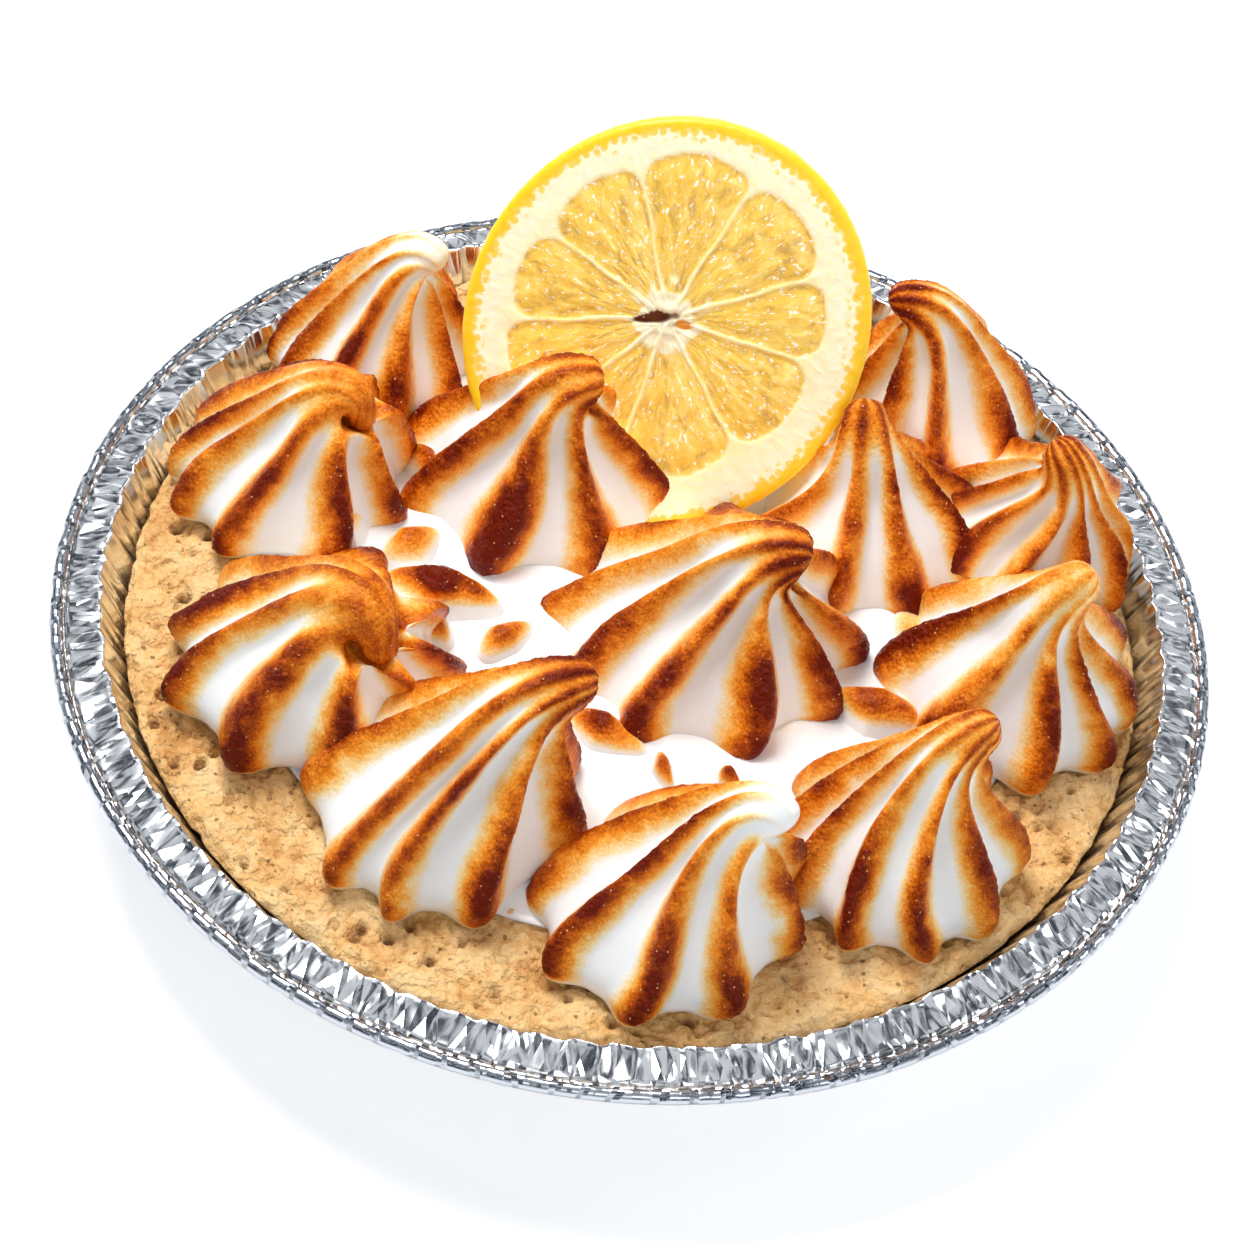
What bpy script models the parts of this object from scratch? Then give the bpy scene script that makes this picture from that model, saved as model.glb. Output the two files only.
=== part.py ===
"""Lemon meringue pie in its fluted foil tin, with a round slice of lemon stuck in the top.

Metres, +Z up. The origin is the middle of the tin's base, on the surface that it stands on.
The tin is turned from a profile and crimped, the crust fills it, the meringue is a bed with
piped swirls fused on, and the lemon slice stands in a slot in the meringue.
"""
import math
from typing import NamedTuple

import bmesh
import bpy
from mathutils import Matrix, Vector

MM = 0.001
FIT_GAP = 0.3 * MM

# The tin: a bead round the rim, a crimped flange that rises inwards, and a sloping wall
RIM_RADIUS = 101.5 * MM
RIM_HEIGHT = 28.0 * MM
BEAD_RADIUS = 1.2 * MM
FLANGE_INNER_RADIUS = 93.0 * MM
FLANGE_RISE = 2.9 * MM
BASE_RADIUS = 78.0 * MM
FOIL_WALL = 0.55 * MM
CRIMPS = 88
CRIMP_DEPTH = 0.32 * MM

# The crust fills the tin, and shows as a broad band round the meringue
CRUST_TOP = 27.0 * MM
CRUST_RADIUS = 89.9 * MM
CRUST_STEPS = 64
CRUST_WAVE = 0.45 * MM

# The meringue bed, and how every swirl on it is made
BED_RADIUS = 70.0 * MM
BED_HEIGHT = 4.2 * MM
SKIRT_DEPTH = 2.0 * MM
SKIRT_STEP = 0.07 * MM
REACH_LIMIT = 89.3 * MM
REACH_EASE = 4.0 * MM
RIDGE_SHARPNESS = 1.5
RIDGE_DEPTH = 0.20
STATIONS = ((0.0, 0.93), (0.06, 1.0), (0.20, 0.91), (0.36, 0.70), (0.52, 0.48),
            (0.68, 0.31), (0.86, 0.20), (1.0, 0.11))
LEAF_STATIONS = ((0.0, 0.30), (0.20, 0.80), (0.45, 1.0), (0.72, 0.80), (1.0, 0.22))
LEAF_SECTION = ((-1.0, 0.0), (-0.45, 0.45), (0.0, 1.0), (0.45, 0.45), (1.0, 0.0))
RAYS_PER_RIDGE = 3
WIDEST_RIDGE_GAP = 60.0
HIDDEN_RIDGE_SPACING = 46.0
BEAK_SHARE = 0.38
CLIMB_SHARE = 0.55

# The lemon slice, an oval disc that leans back
SLICE_CENTRE = Vector((-2.2, 40.4, 60.0)) * MM
SLICE_LONG_RADIUS = 37.6 * MM
SLICE_SHORT_RADIUS = 34.9 * MM
SLICE_LONG_ANGLE = 60.0
SLICE_THICKNESS = 5.6 * MM
SLICE_LEAN = 36.0
SLICE_TURN = -3.0
RIND_BEVEL = 1.1 * MM
CORE_OFFSET = Vector((-0.1, 1.35)) * MM
CORE_RADIUS = 4.6 * MM
SEGMENT_RADIUS = 28.6 * MM
SEGMENT_SINK = 0.35 * MM
MEMBRANE = 1.0 * MM
MEMBRANE_ANGLES = (-169.4, -132.2, -98.3, -52.3, -7.7, 25.8, 66.8, 109.2, 152.8)


class Swirl(NamedTuple):
    """One piped swirl: plan sizes in millimetres from the middle, heights above the crust."""
    name: str
    base: tuple
    radius: float
    tip: tuple
    heading: float
    slope: float
    twist: float
    lean: float
    ridges: tuple
    hook: float = 0.0
    climb: float = 0.0


SWIRLS = (
    Swirl("back_left", (-55, 51), 20.5, (-43, 54, 26), -20, -35, -5, 0.15, (180, 215, 250, 290, 330)),
    Swirl("left", (-65, 20), 22.5, (-51.5, 19, 18), -52, -70, -20, 0.24,
          (150, 185, 212, 246, 300), 14.0, 15.0),
    Swirl("front_left", (-54.0, -23.5), 26.0, (-40.8, -31.5, 17), -62, -72, -40, 0.20,
          (137, 168, 205, 250, 295, 370, 400), 16.0, 17.0),
    Swirl("front", (-27.6, -50.1), 24.6, (-5, -40, 30), 27, -19, -6, 0.11,
          (130, 172, 228, 257, 293, 346)),
    Swirl("front_mid", (10.4, -65.0), 22.8, (29.5, -63, 28), -25, -40, -55, 0.38,
          (115, 178, 220, 264, 308, 358)),
    Swirl("front_right", (49, -45.5), 22.0, (61.2, -37.5, 32), 26, 19, -30, 0.13,
          (150, 177, 250, 289, 322, 368)),
    Swirl("right", (65.5, -5), 23.6, (75.5, -3.5, 34), 28, 34, 3, 0.12, (130, 180, 237, 285, 321, 352)),
    Swirl("right_back", (69, 32), 21.5, (67.5, 29, 31), 140, 28, 6, 0.12,
          (152, 178, 220, 290, 316, 342)),
    Swirl("back_right", (49, 57), 20.5, (36.5, 57, 31), 188, -14, -2, 0.05,
          (150, 190, 275, 328, 367)),
    Swirl("mid_right", (38.8, 27), 22.8, (34, 33, 30), 103, 38, 18, 0.05,
          (198, 254, 297, 342, 373)),
    Swirl("middle", (10.8, -3.3), 28.6, (28, -4.3, 28), 4, -15, -18, 0.34,
          (141, 177, 217, 252, 293, 330, 359)),
    Swirl("mid_left", (-21.6, 28.3), 25.4, (-12, 28.7, 29), 17, -12, -1, 0.30,
          (161, 208, 254, 301, 351)),
    Swirl("behind_left", (-19, 67), 22.0, (-16, 62, 25), 215, 10, 10, 0.15, (20,)),
    Swirl("behind_right", (17, 68), 21.5, (19, 63, 25), 160, 10, 10, 0.15, (0,)),
)


class Leaf(NamedTuple):
    """A low ridge on the bed between the swirls, in millimetres: its run, half width and height."""
    name: str
    start: tuple
    end: tuple
    width: float
    height: float


LEAVES = (
    Leaf("hook_foot", (-55.5, 24), (-54, 15), 3.0, 8.0),
    Leaf("cone_left", (-58.5, 6), (-50, 13.5), 8.0, 9.0),
    Leaf("cone_inner", (-46, 2.5), (-35.5, 11), 6.5, 7.0),
    Leaf("leaf_upper", (-45, -1.5), (-22.5, -5), 7.0, 8.0),
    Leaf("leaf_lower", (-42, -7.5), (-30.5, -15), 6.0, 7.0),
    Leaf("point_middle", (-25, -17), (-17.5, -6), 5.0, 6.0),
    Leaf("leaf_front", (-10, -26.5), (6, -31.5), 6.0, 6.5),
    Leaf("tip_front_a", (7, -31), (11, -39), 2.6, 5.4),
    Leaf("tip_front_b", (18.5, -32), (22, -38), 2.8, 5.4),
    Leaf("leaf_right", (35, -12.5), (53.5, -18), 7.0, 7.0),
    Leaf("leaf_back_a", (-44.5, 29.5), (-38, 20), 4.0, 8.0),
    Leaf("leaf_back_b", (-62, 37), (-45, 42), 7.0, 9.0),
    Leaf("leaf_slice", (4.5, 28), (13.5, 18.5), 4.0, 8.0),
    Leaf("gap_right", (45, 8), (53, -1), 6.0, 6.0),
)


def clear_scene():
    """Remove what an open file may hold, so that only the pie is left."""
    for obj in list(bpy.data.objects):
        bpy.data.objects.remove(obj, do_unlink=True)


def new_collection(name):
    """Make a collection and link it to the scene."""
    collection = bpy.data.collections.new(name)
    bpy.context.scene.collection.children.link(collection)
    return collection


def new_material(name, colour, roughness, metallic=0.0):
    """Make a Principled material from a colour, a roughness and a metallic value."""
    material = bpy.data.materials.new(name)
    material.use_nodes = True
    shader = material.node_tree.nodes["Principled BSDF"]
    shader.inputs["Base Color"].default_value = (*colour, 1.0)
    shader.inputs["Roughness"].default_value = roughness
    shader.inputs["Metallic"].default_value = metallic
    return material


def mesh_object(name, mesh, collection, material=None):
    """Put a mesh in a named object of a collection."""
    obj = bpy.data.objects.new(name, mesh)
    collection.objects.link(obj)
    if material:
        mesh.materials.append(material)
    return obj


def object_from_bmesh(name, bm, collection, material=None):
    """Turn a bmesh into a named object and free the bmesh."""
    mesh = bpy.data.meshes.new(name)
    bm.to_mesh(mesh)
    bm.free()
    return mesh_object(name, mesh, collection, material)


def apply_modifier(obj, modifier):
    """Apply one modifier to its object."""
    bpy.ops.object.select_all(action="DESELECT")
    bpy.context.view_layer.objects.active = obj
    obj.select_set(True)
    bpy.ops.object.modifier_apply(modifier=modifier.name)


def mark_cutter(obj):
    """Show a cutter as a wire that doesn't render."""
    obj.hide_render = True
    obj.display_type = "WIRE"


def boolean(obj, operation, cutter):
    """Add an exact Boolean between an object and a cutter."""
    modifier = obj.modifiers.new(f"{operation.lower()} {cutter.name}", "BOOLEAN")
    modifier.operation = operation
    modifier.object = cutter
    modifier.solver = "EXACT"
    return modifier


def turned(name, profile, steps, collection, material):
    """Turn a closed solid from a profile of (radius, height) that runs from axis to axis."""
    bm = bmesh.new()
    corners = [bm.verts.new((radius, 0.0, height)) for radius, height in profile]
    for start, end in zip(corners, corners[1:]):
        bm.edges.new((start, end))
    obj = object_from_bmesh(name, bm, collection, material)
    screw = obj.modifiers.new("turn", "SCREW")
    screw.axis = "Z"
    screw.angle = 2 * math.pi
    screw.steps = steps
    screw.render_steps = steps
    screw.use_merge_vertices = True
    screw.merge_threshold = 0.00002
    screw.use_smooth_shade = True
    apply_modifier(obj, screw)
    return obj


def tin_profile():
    """List the tin's profile, up the inner side, over the flange and the bead, and down."""
    rim = RIM_HEIGHT
    bead_middle = RIM_RADIUS - BEAD_RADIUS
    top = rim + FLANGE_RISE
    return (
        (0.0, FOIL_WALL),
        (BASE_RADIUS - 1.8 * MM, FOIL_WALL),
        (BASE_RADIUS, 1.7 * MM),
        (FLANGE_INNER_RADIUS - 1.5 * MM, rim + 1.2 * MM),
        (FLANGE_INNER_RADIUS, top),
        (bead_middle - 2.0 * MM, rim + 0.9 * MM),
        (bead_middle, rim + BEAD_RADIUS),
        (RIM_RADIUS - 0.25 * MM, rim + 0.75 * MM),
        (RIM_RADIUS, rim),
        (bead_middle - 0.2 * MM, rim - BEAD_RADIUS),
        (FLANGE_INNER_RADIUS + 0.35 * MM, top - FOIL_WALL - 0.3 * MM),
        (BASE_RADIUS + 0.62 * MM, 1.0 * MM),
        (BASE_RADIUS - 1.6 * MM, 0.0),
        (0.0, 0.0),
    )


def crimp(obj, steps):
    """Fold the wall and the flange to and fro, one fold to every two steps of the turning."""
    for vertex in obj.data.vertices:
        radius = math.hypot(vertex.co.x, vertex.co.y)
        if radius < BASE_RADIUS - 0.5 * MM:
            continue
        turn = math.atan2(vertex.co.y, vertex.co.x) / (2 * math.pi)
        inward = round(turn * steps) % 2 == 1
        if not inward:
            continue
        climb = min(max((radius - BASE_RADIUS) / (FLANGE_INNER_RADIUS - BASE_RADIUS), 0.0), 1.0)
        if radius > FLANGE_INNER_RADIUS - 0.5 * MM and radius < RIM_RADIUS - 2.9 * MM:
            vertex.co.z -= CRIMP_DEPTH * 1.2
        elif radius >= RIM_RADIUS - 1.3 * MM:
            vertex.co.xy = vertex.co.xy * (1 - 0.5 * CRIMP_DEPTH / radius)
        else:
            vertex.co.xy = vertex.co.xy * (1 + CRIMP_DEPTH * climb / radius)


def make_tin(collection, material):
    """Make the foil tin."""
    steps = 2 * CRIMPS
    obj = turned("foil_pan", tin_profile(), steps, collection, material)
    crimp(obj, steps)
    return obj


def make_crust(collection, material):
    """Make the crust, a solid down to the tin's base, with an uneven outer edge."""
    foot = BASE_RADIUS - 2.0 * MM
    profile = (
        (0.0, CRUST_TOP),
        (BED_RADIUS + 3.0 * MM, CRUST_TOP),
        (CRUST_RADIUS - 3.2 * MM, CRUST_TOP - 0.1 * MM),
        (CRUST_RADIUS - 0.9 * MM, CRUST_TOP - 0.9 * MM),
        (CRUST_RADIUS - 1.2 * MM, CRUST_TOP - 2.6 * MM),
        (CRUST_RADIUS - 2.5 * MM, CRUST_TOP - 5.0 * MM),
        (foot + 1.2 * MM, 2.2 * MM),
        (foot, FOIL_WALL + FIT_GAP),
        (0.0, FOIL_WALL + FIT_GAP),
    )
    obj = turned("crust", profile, CRUST_STEPS, collection, material)
    for vertex in obj.data.vertices:
        radius = math.hypot(vertex.co.x, vertex.co.y)
        if radius < CRUST_RADIUS - 4.0 * MM or vertex.co.z < CRUST_TOP - 6.0 * MM:
            continue
        turn = math.atan2(vertex.co.y, vertex.co.x)
        wave = 0.5 + 0.25 * math.sin(17 * turn + 1.0) + 0.25 * math.sin(31 * turn + 4.0)
        vertex.co.xy = vertex.co.xy * (1 - CRUST_WAVE * wave / radius)
        if radius < CRUST_RADIUS - 0.5 * MM:
            vertex.co.z -= 0.6 * CRUST_WAVE * (1 - wave)
    return obj


def with_hidden_ridges(ridges):
    """Sort ridge azimuths and add evenly spaced ones where a gap between two is wide."""
    known = sorted(angle % 360 for angle in ridges)
    filled = []
    for index, start in enumerate(known):
        end = known[index + 1] if index + 1 < len(known) else known[0] + 360
        parts = 1
        if end - start > WIDEST_RIDGE_GAP:
            parts = round((end - start) / HIDDEN_RIDGE_SPACING)
        filled += [start + (end - start) * part / parts for part in range(parts)]
    return filled


def section_rays(azimuths):
    """List (azimuth, height of the ridge wave), from each ridge's crest to the next."""
    rays = []
    for index, start in enumerate(azimuths):
        end = azimuths[index + 1] if index + 1 < len(azimuths) else azimuths[0] + 360
        for part in range(RAYS_PER_RIDGE):
            share = part / RAYS_PER_RIDGE
            wave = (0.5 + 0.5 * math.cos(2 * math.pi * share)) ** RIDGE_SHARPNESS
            rays.append((math.radians(start + (end - start) * share), wave))
    return rays


def bezier(points, share):
    """Return a cubic curve's point and direction at a share of its run."""
    a, b, c, d = points
    rest = 1 - share
    point = (rest ** 3 * a + 3 * rest ** 2 * share * b
             + 3 * rest * share ** 2 * c + share ** 3 * d)
    direction = 3 * rest ** 2 * (b - a) + 6 * rest * share * (c - b) + 3 * share ** 2 * (d - c)
    return point, direction.normalized()


def smooth_step(low, high, value):
    """Ease from 0 to 1 between two values."""
    share = min(max((value - low) / (high - low), 0.0), 1.0)
    return share * share * (3 - 2 * share)


def spine(swirl, foot):
    """Return the four control points of a swirl's middle line, from its foot to its beak."""
    base = Vector((swirl.base[0] * MM, swirl.base[1] * MM, foot))
    tip = Vector((swirl.tip[0] * MM, swirl.tip[1] * MM, foot + swirl.tip[2] * MM))
    rise = tip.z - base.z
    heading = math.radians(swirl.heading)
    slope = math.radians(swirl.slope)
    beak = Vector((math.cos(slope) * math.cos(heading),
                   math.cos(slope) * math.sin(heading), math.sin(slope)))
    climb = base + Vector(((tip.x - base.x) * swirl.lean, (tip.y - base.y) * swirl.lean,
                           swirl.climb * MM or CLIMB_SHARE * rise))
    return base, climb, tip - (swirl.hook * MM or BEAK_SHARE * rise) * beak, tip


def kept_inside(point):
    """Ease a point back so that nothing reaches past the crust's edge."""
    radius = math.hypot(point.x, point.y)
    start = REACH_LIMIT - REACH_EASE
    if radius <= start:
        return point
    eased = start + REACH_EASE * math.tanh((radius - start) / REACH_EASE)
    return Vector((point.x * eased / radius, point.y * eased / radius, point.z))


def make_swirl(swirl, rays, collection, foot, depth):
    """Loft a swirl through its star-shaped sections, with a skirt down into the crust."""
    controls = spine(swirl, foot)
    bm = bmesh.new()
    rings = []
    for share, fraction in STATIONS:
        middle, direction = bezier(controls, share)
        up = Vector((0, 0, 1)).lerp(direction, smooth_step(0.35, 0.8, share)).normalized()
        turn = Vector((0, 0, 1)).rotation_difference(up).to_matrix()
        twist = math.radians(swirl.twist) * share ** 1.2
        depth_here = RIDGE_DEPTH * (0.75 + 0.9 * smooth_step(0.0, 0.5, share))
        depth_here *= 1 - 0.85 * smooth_step(0.50, 0.95, share)
        ring = []
        for azimuth, wave in rays:
            reach = swirl.radius * MM * fraction * (1 - depth_here * (1 - wave))
            arm = Vector((math.cos(azimuth + twist), math.sin(azimuth + twist), 0)) * reach
            ring.append(bm.verts.new(kept_inside(middle + turn @ arm)))
        rings.append(ring)
    skirt = [bm.verts.new((vertex.co.x, vertex.co.y, foot - depth)) for vertex in rings[0]]
    rings.insert(0, skirt)
    for lower, upper in zip(rings, rings[1:]):
        for index in range(len(rays)):
            following = (index + 1) % len(rays)
            bm.faces.new((lower[index], lower[following], upper[following], upper[index]))
    bm.faces.new(list(reversed(rings[0])))
    bm.faces.new(rings[-1])
    return object_from_bmesh(swirl.name, bm, collection)


def make_leaf(leaf, collection, foot, depth):
    """Loft a low ridge along a straight run, with a skirt down into the crust."""
    start = Vector((*leaf.start, 0)) * MM
    run = Vector((*leaf.end, 0)) * MM - start
    across = Vector((-run.y, run.x, 0)).normalized() * leaf.width * MM
    bm = bmesh.new()
    rings = []
    for share, size in LEAF_STATIONS:
        middle = start + run * share
        section = [middle + across * offset * size
                   + Vector((0, 0, foot + leaf.height * MM * height * size))
                   for offset, height in LEAF_SECTION]
        corners = [section[0].copy(), *section, section[-1].copy()]
        corners[0].z = foot - depth
        corners[-1].z = foot - depth
        rings.append([bm.verts.new(corner) for corner in corners])
    for before, after in zip(rings, rings[1:]):
        for index in range(len(before)):
            following = (index + 1) % len(before)
            bm.faces.new((before[index], after[index], after[following], before[following]))
    bm.faces.new(rings[0])
    bm.faces.new(list(reversed(rings[-1])))
    bmesh.ops.recalc_face_normals(bm, faces=bm.faces)
    return object_from_bmesh(leaf.name, bm, collection)


def make_bed(collection, material):
    """Make the low dome that every swirl is piped on."""
    bpy.ops.mesh.primitive_uv_sphere_add(segments=48, ring_count=10, radius=1.0,
                                         location=(0, 0, CRUST_TOP),
                                         scale=(BED_RADIUS, BED_RADIUS, BED_HEIGHT))
    obj = bpy.context.object
    obj.name = "meringue"
    bpy.ops.object.transform_apply(location=True, rotation=True, scale=True)
    for owner in list(obj.users_collection):
        owner.objects.unlink(obj)
    collection.objects.link(obj)
    obj.data.materials.append(material)
    return obj


def make_trimmer(collection):
    """Make the block that trims the meringue's underside flat, just clear of the crust."""
    height = 20 * MM
    bpy.ops.mesh.primitive_cube_add(size=1.0, location=(0, 0, CRUST_TOP + FIT_GAP - height / 2),
                                    scale=(0.3, 0.3, height))
    obj = bpy.context.object
    obj.name = "meringue_trimmer"
    bpy.ops.object.transform_apply(location=True, rotation=True, scale=True)
    for owner in list(obj.users_collection):
        owner.objects.unlink(obj)
    collection.objects.link(obj)
    mark_cutter(obj)
    return obj


def keep_largest_shell(obj):
    """Delete the specks that fusing leaves, so that one closed shell stays."""
    bm = bmesh.new()
    bm.from_mesh(obj.data)
    waiting = set(bm.verts)
    shells = []
    while waiting:
        shell = set()
        edge = {waiting.pop()}
        while edge:
            shell |= edge
            edge = {link.other_vert(vertex) for vertex in edge for link in vertex.link_edges} - shell
        waiting -= shell
        shells.append(shell)
    largest = max(shells, key=len)
    specks = [vertex for vertex in bm.verts if vertex not in largest]
    bmesh.ops.delete(bm, geom=specks, context="VERTS")
    bm.to_mesh(obj.data)
    bm.free()


def make_meringue(collection, cutters, material):
    """Fuse the bed, the swirls and the leaves, then trim them and cut the lemon's slot."""
    obj = make_bed(collection, material)
    piped = new_collection("piped")
    for order, swirl in enumerate(SWIRLS):
        rays = section_rays(with_hidden_ridges(swirl.ridges))
        make_swirl(swirl, rays, piped, CRUST_TOP, SKIRT_DEPTH + SKIRT_STEP * order)
    for order, leaf in enumerate(LEAVES):
        make_leaf(leaf, piped, CRUST_TOP, 2 * SKIRT_DEPTH + SKIRT_STEP * order)
    union = obj.modifiers.new("fuse", "BOOLEAN")
    union.operation = "UNION"
    union.operand_type = "COLLECTION"
    union.collection = piped
    union.solver = "EXACT"
    union.use_self = True
    apply_modifier(obj, union)
    for leftover in list(piped.objects):
        bpy.data.objects.remove(leftover, do_unlink=True)
    bpy.data.collections.remove(piped)
    apply_modifier(obj, boolean(obj, "DIFFERENCE", make_trimmer(cutters)))
    slot = slice_disc("lemon_slot", cutters, FIT_GAP)
    mark_cutter(slot)
    apply_modifier(obj, boolean(obj, "DIFFERENCE", slot))
    keep_largest_shell(obj)
    return obj


def slice_placing():
    """Return the matrix that leans the slice back and turns its face to the front."""
    lean = Matrix.Rotation(math.radians(90.0 - SLICE_LEAN), 4, "X")
    turn = Matrix.Rotation(math.radians(SLICE_TURN), 4, "Z")
    return Matrix.Translation(SLICE_CENTRE) @ turn @ lean


def slice_disc(name, collection, margin):
    """Make the plain oval disc of the slice, grown by a margin all round."""
    bpy.ops.mesh.primitive_cylinder_add(vertices=48, radius=1.0, depth=1.0, end_fill_type="NGON")
    obj = bpy.context.object
    obj.name = name
    spin = Matrix.Rotation(math.radians(SLICE_LONG_ANGLE), 4, "Z")
    size = Matrix.Diagonal((SLICE_LONG_RADIUS + margin, SLICE_SHORT_RADIUS + margin,
                            SLICE_THICKNESS + 2 * margin, 1.0))
    obj.data.transform(Matrix.Translation((0, 0, -SLICE_THICKNESS / 2)) @ spin @ size)
    bevel = obj.modifiers.new("rind edge", "BEVEL")
    bevel.width = RIND_BEVEL
    bevel.segments = 2
    bevel.limit_method = "ANGLE"
    apply_modifier(obj, bevel)
    for owner in list(obj.users_collection):
        owner.objects.unlink(obj)
    collection.objects.link(obj)
    obj.matrix_world = slice_placing()
    return obj


def segment_outline(start, end, arc_points=6):
    """List the corners of one juice segment, a wedge with a rounded outer end."""
    inset = MEMBRANE / 2
    corners = []
    for index in range(arc_points):
        share = index / (arc_points - 1)
        radius = SEGMENT_RADIUS * (1 - 0.15 * abs(2 * share - 1) ** 4)
        margin = math.asin(inset / radius)
        azimuth = start + margin + (end - start - 2 * margin) * share
        corners.append(Vector((radius * math.cos(azimuth), radius * math.sin(azimuth))))
    margin = math.asin(inset / CORE_RADIUS)
    for azimuth in (end - margin, start + margin):
        corners.append(Vector((CORE_RADIUS * math.cos(azimuth), CORE_RADIUS * math.sin(azimuth))))
    return [corner + CORE_OFFSET for corner in corners]


def make_segment_cutter(index, start, end, low, high, cutters):
    """Make the wedge that sinks one segment's flesh a little below the membranes."""
    bm = bmesh.new()
    face = bm.faces.new([bm.verts.new((*corner, low)) for corner in segment_outline(start, end)])
    raised = bmesh.ops.extrude_face_region(bm, geom=[face])
    verts = [item for item in raised["geom"] if isinstance(item, bmesh.types.BMVert)]
    bmesh.ops.translate(bm, verts=verts, vec=(0, 0, high - low))
    bmesh.ops.recalc_face_normals(bm, faces=bm.faces)
    obj = object_from_bmesh(f"segment_{index}", bm, cutters)
    obj.matrix_world = slice_placing()
    mark_cutter(obj)
    return obj


def make_slice(collection, cutters, material):
    """Make the lemon slice, with its segments sunk in both faces."""
    obj = slice_disc("lemon_slice", collection, 0.0)
    obj.data.materials.append(material)
    angles = [math.radians(angle) for angle in MEMBRANE_ANGLES]
    angles.append(angles[0] + 2 * math.pi)
    clear = 2 * MM
    faces = ((-SEGMENT_SINK, clear), (-SLICE_THICKNESS - clear, -SLICE_THICKNESS + SEGMENT_SINK))
    wedges = new_collection("wedges")
    index = 0
    for low, high in faces:
        for start, end in zip(angles, angles[1:]):
            make_segment_cutter(index, start, end, low, high, wedges)
            index += 1
    cut = obj.modifiers.new("sink segments", "BOOLEAN")
    cut.operation = "DIFFERENCE"
    cut.operand_type = "COLLECTION"
    cut.collection = wedges
    cut.solver = "EXACT"
    apply_modifier(obj, cut)
    for leftover in list(wedges.objects):
        bpy.data.objects.remove(leftover, do_unlink=True)
    bpy.data.collections.remove(wedges)
    return obj


def shade(obj):
    """Shade an object smooth, with its sharp folds kept."""
    obj.data.shade_smooth()
    obj.data.set_sharp_from_angle(angle=math.radians(40))


def main():
    """Build the pie."""
    clear_scene()
    parts = new_collection("lemon_pie")
    cutters = new_collection("cutters")
    foil = new_material("foil", (0.80, 0.81, 0.83), 0.25, 1.0)
    baked = new_material("baked crust", (0.78, 0.47, 0.18), 0.8)
    toasted = new_material("toasted meringue", (0.86, 0.70, 0.50), 0.45)
    lemon = new_material("lemon", (0.95, 0.68, 0.12), 0.35)
    pieces = (
        make_tin(parts, foil),
        make_crust(parts, baked),
        make_meringue(parts, cutters, toasted),
        make_slice(parts, cutters, lemon),
    )
    for piece in pieces:
        shade(piece)


main()
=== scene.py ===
"""Lemon meringue pie in its foil tin: the looks of every surface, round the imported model."""
import enum
import logging
import math
from dataclasses import dataclass
from typing import Any, Sequence

import bpy
import numpy as np
from mathutils import Matrix, Vector


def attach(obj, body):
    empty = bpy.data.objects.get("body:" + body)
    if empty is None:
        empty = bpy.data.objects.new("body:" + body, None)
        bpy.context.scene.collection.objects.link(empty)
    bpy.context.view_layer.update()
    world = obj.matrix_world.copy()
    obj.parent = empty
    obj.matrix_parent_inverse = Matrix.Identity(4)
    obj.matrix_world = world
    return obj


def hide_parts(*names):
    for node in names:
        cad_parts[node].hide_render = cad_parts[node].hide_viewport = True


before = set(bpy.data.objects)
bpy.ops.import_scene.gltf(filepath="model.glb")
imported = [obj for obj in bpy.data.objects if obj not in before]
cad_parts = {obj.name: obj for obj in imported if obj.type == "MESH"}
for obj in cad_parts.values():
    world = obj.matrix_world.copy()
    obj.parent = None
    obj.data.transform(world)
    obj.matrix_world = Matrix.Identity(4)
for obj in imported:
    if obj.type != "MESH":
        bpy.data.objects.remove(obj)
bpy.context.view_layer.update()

MM = 0.001
CRUST_TOP_MM = 27.0
RIM_HEIGHT_MM = 28.0
SCATTER = np.array([73856093, 19349663, 83492791])   # large primes, one for each axis of the noise
SEED_STEP = 2654435
STIR = 1274126177

Array = np.ndarray
Colour = tuple[float, float, float]
Material = bpy.types.Material
Pair = tuple[float, float]
Piece = bpy.types.Object
Place = tuple[float, float, float]
Socket = bpy.types.NodeSocket

log = logging.getLogger("lemon_pie")


class Slot(enum.Enum):
    """The record's material slots, one for each kind of stuff in the pie."""

    FOIL = "foil"
    CRUST = "crust"
    MERINGUE = "meringue"
    LEMON = "lemon"


# Numbers over the surface


def ease(low: float, high: float, value: Array) -> Array:
    """Ease from 0 to 1 between two values.

    Args:
        low: the value where the result is 0.
        high: the value where the result is 1.
        value: the values to ease.

    Returns:
        An array of shares from 0 to 1.
    """
    share = np.clip((value - low) / (high - low), 0.0, 1.0)
    return share * share * (3.0 - 2.0 * share)


def off_axis(points: Array) -> Array:
    """Return how far each place is from the pie's axis."""
    return np.hypot(points[:, 0], points[:, 1])


def flat_places(x: Array, y: Array) -> Array:
    """Return places at no height, one row each."""
    return np.stack([x, y, np.zeros_like(x)], axis=-1)


def line(start: Pair, end: Pair, parts: int) -> list[Pair]:
    """Divide the way from one point to another, and leave the first point out."""
    return [(start[0] + (end[0] - start[0]) * part / parts,
             start[1] + (end[1] - start[1]) * part / parts) for part in range(1, parts + 1)]


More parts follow.
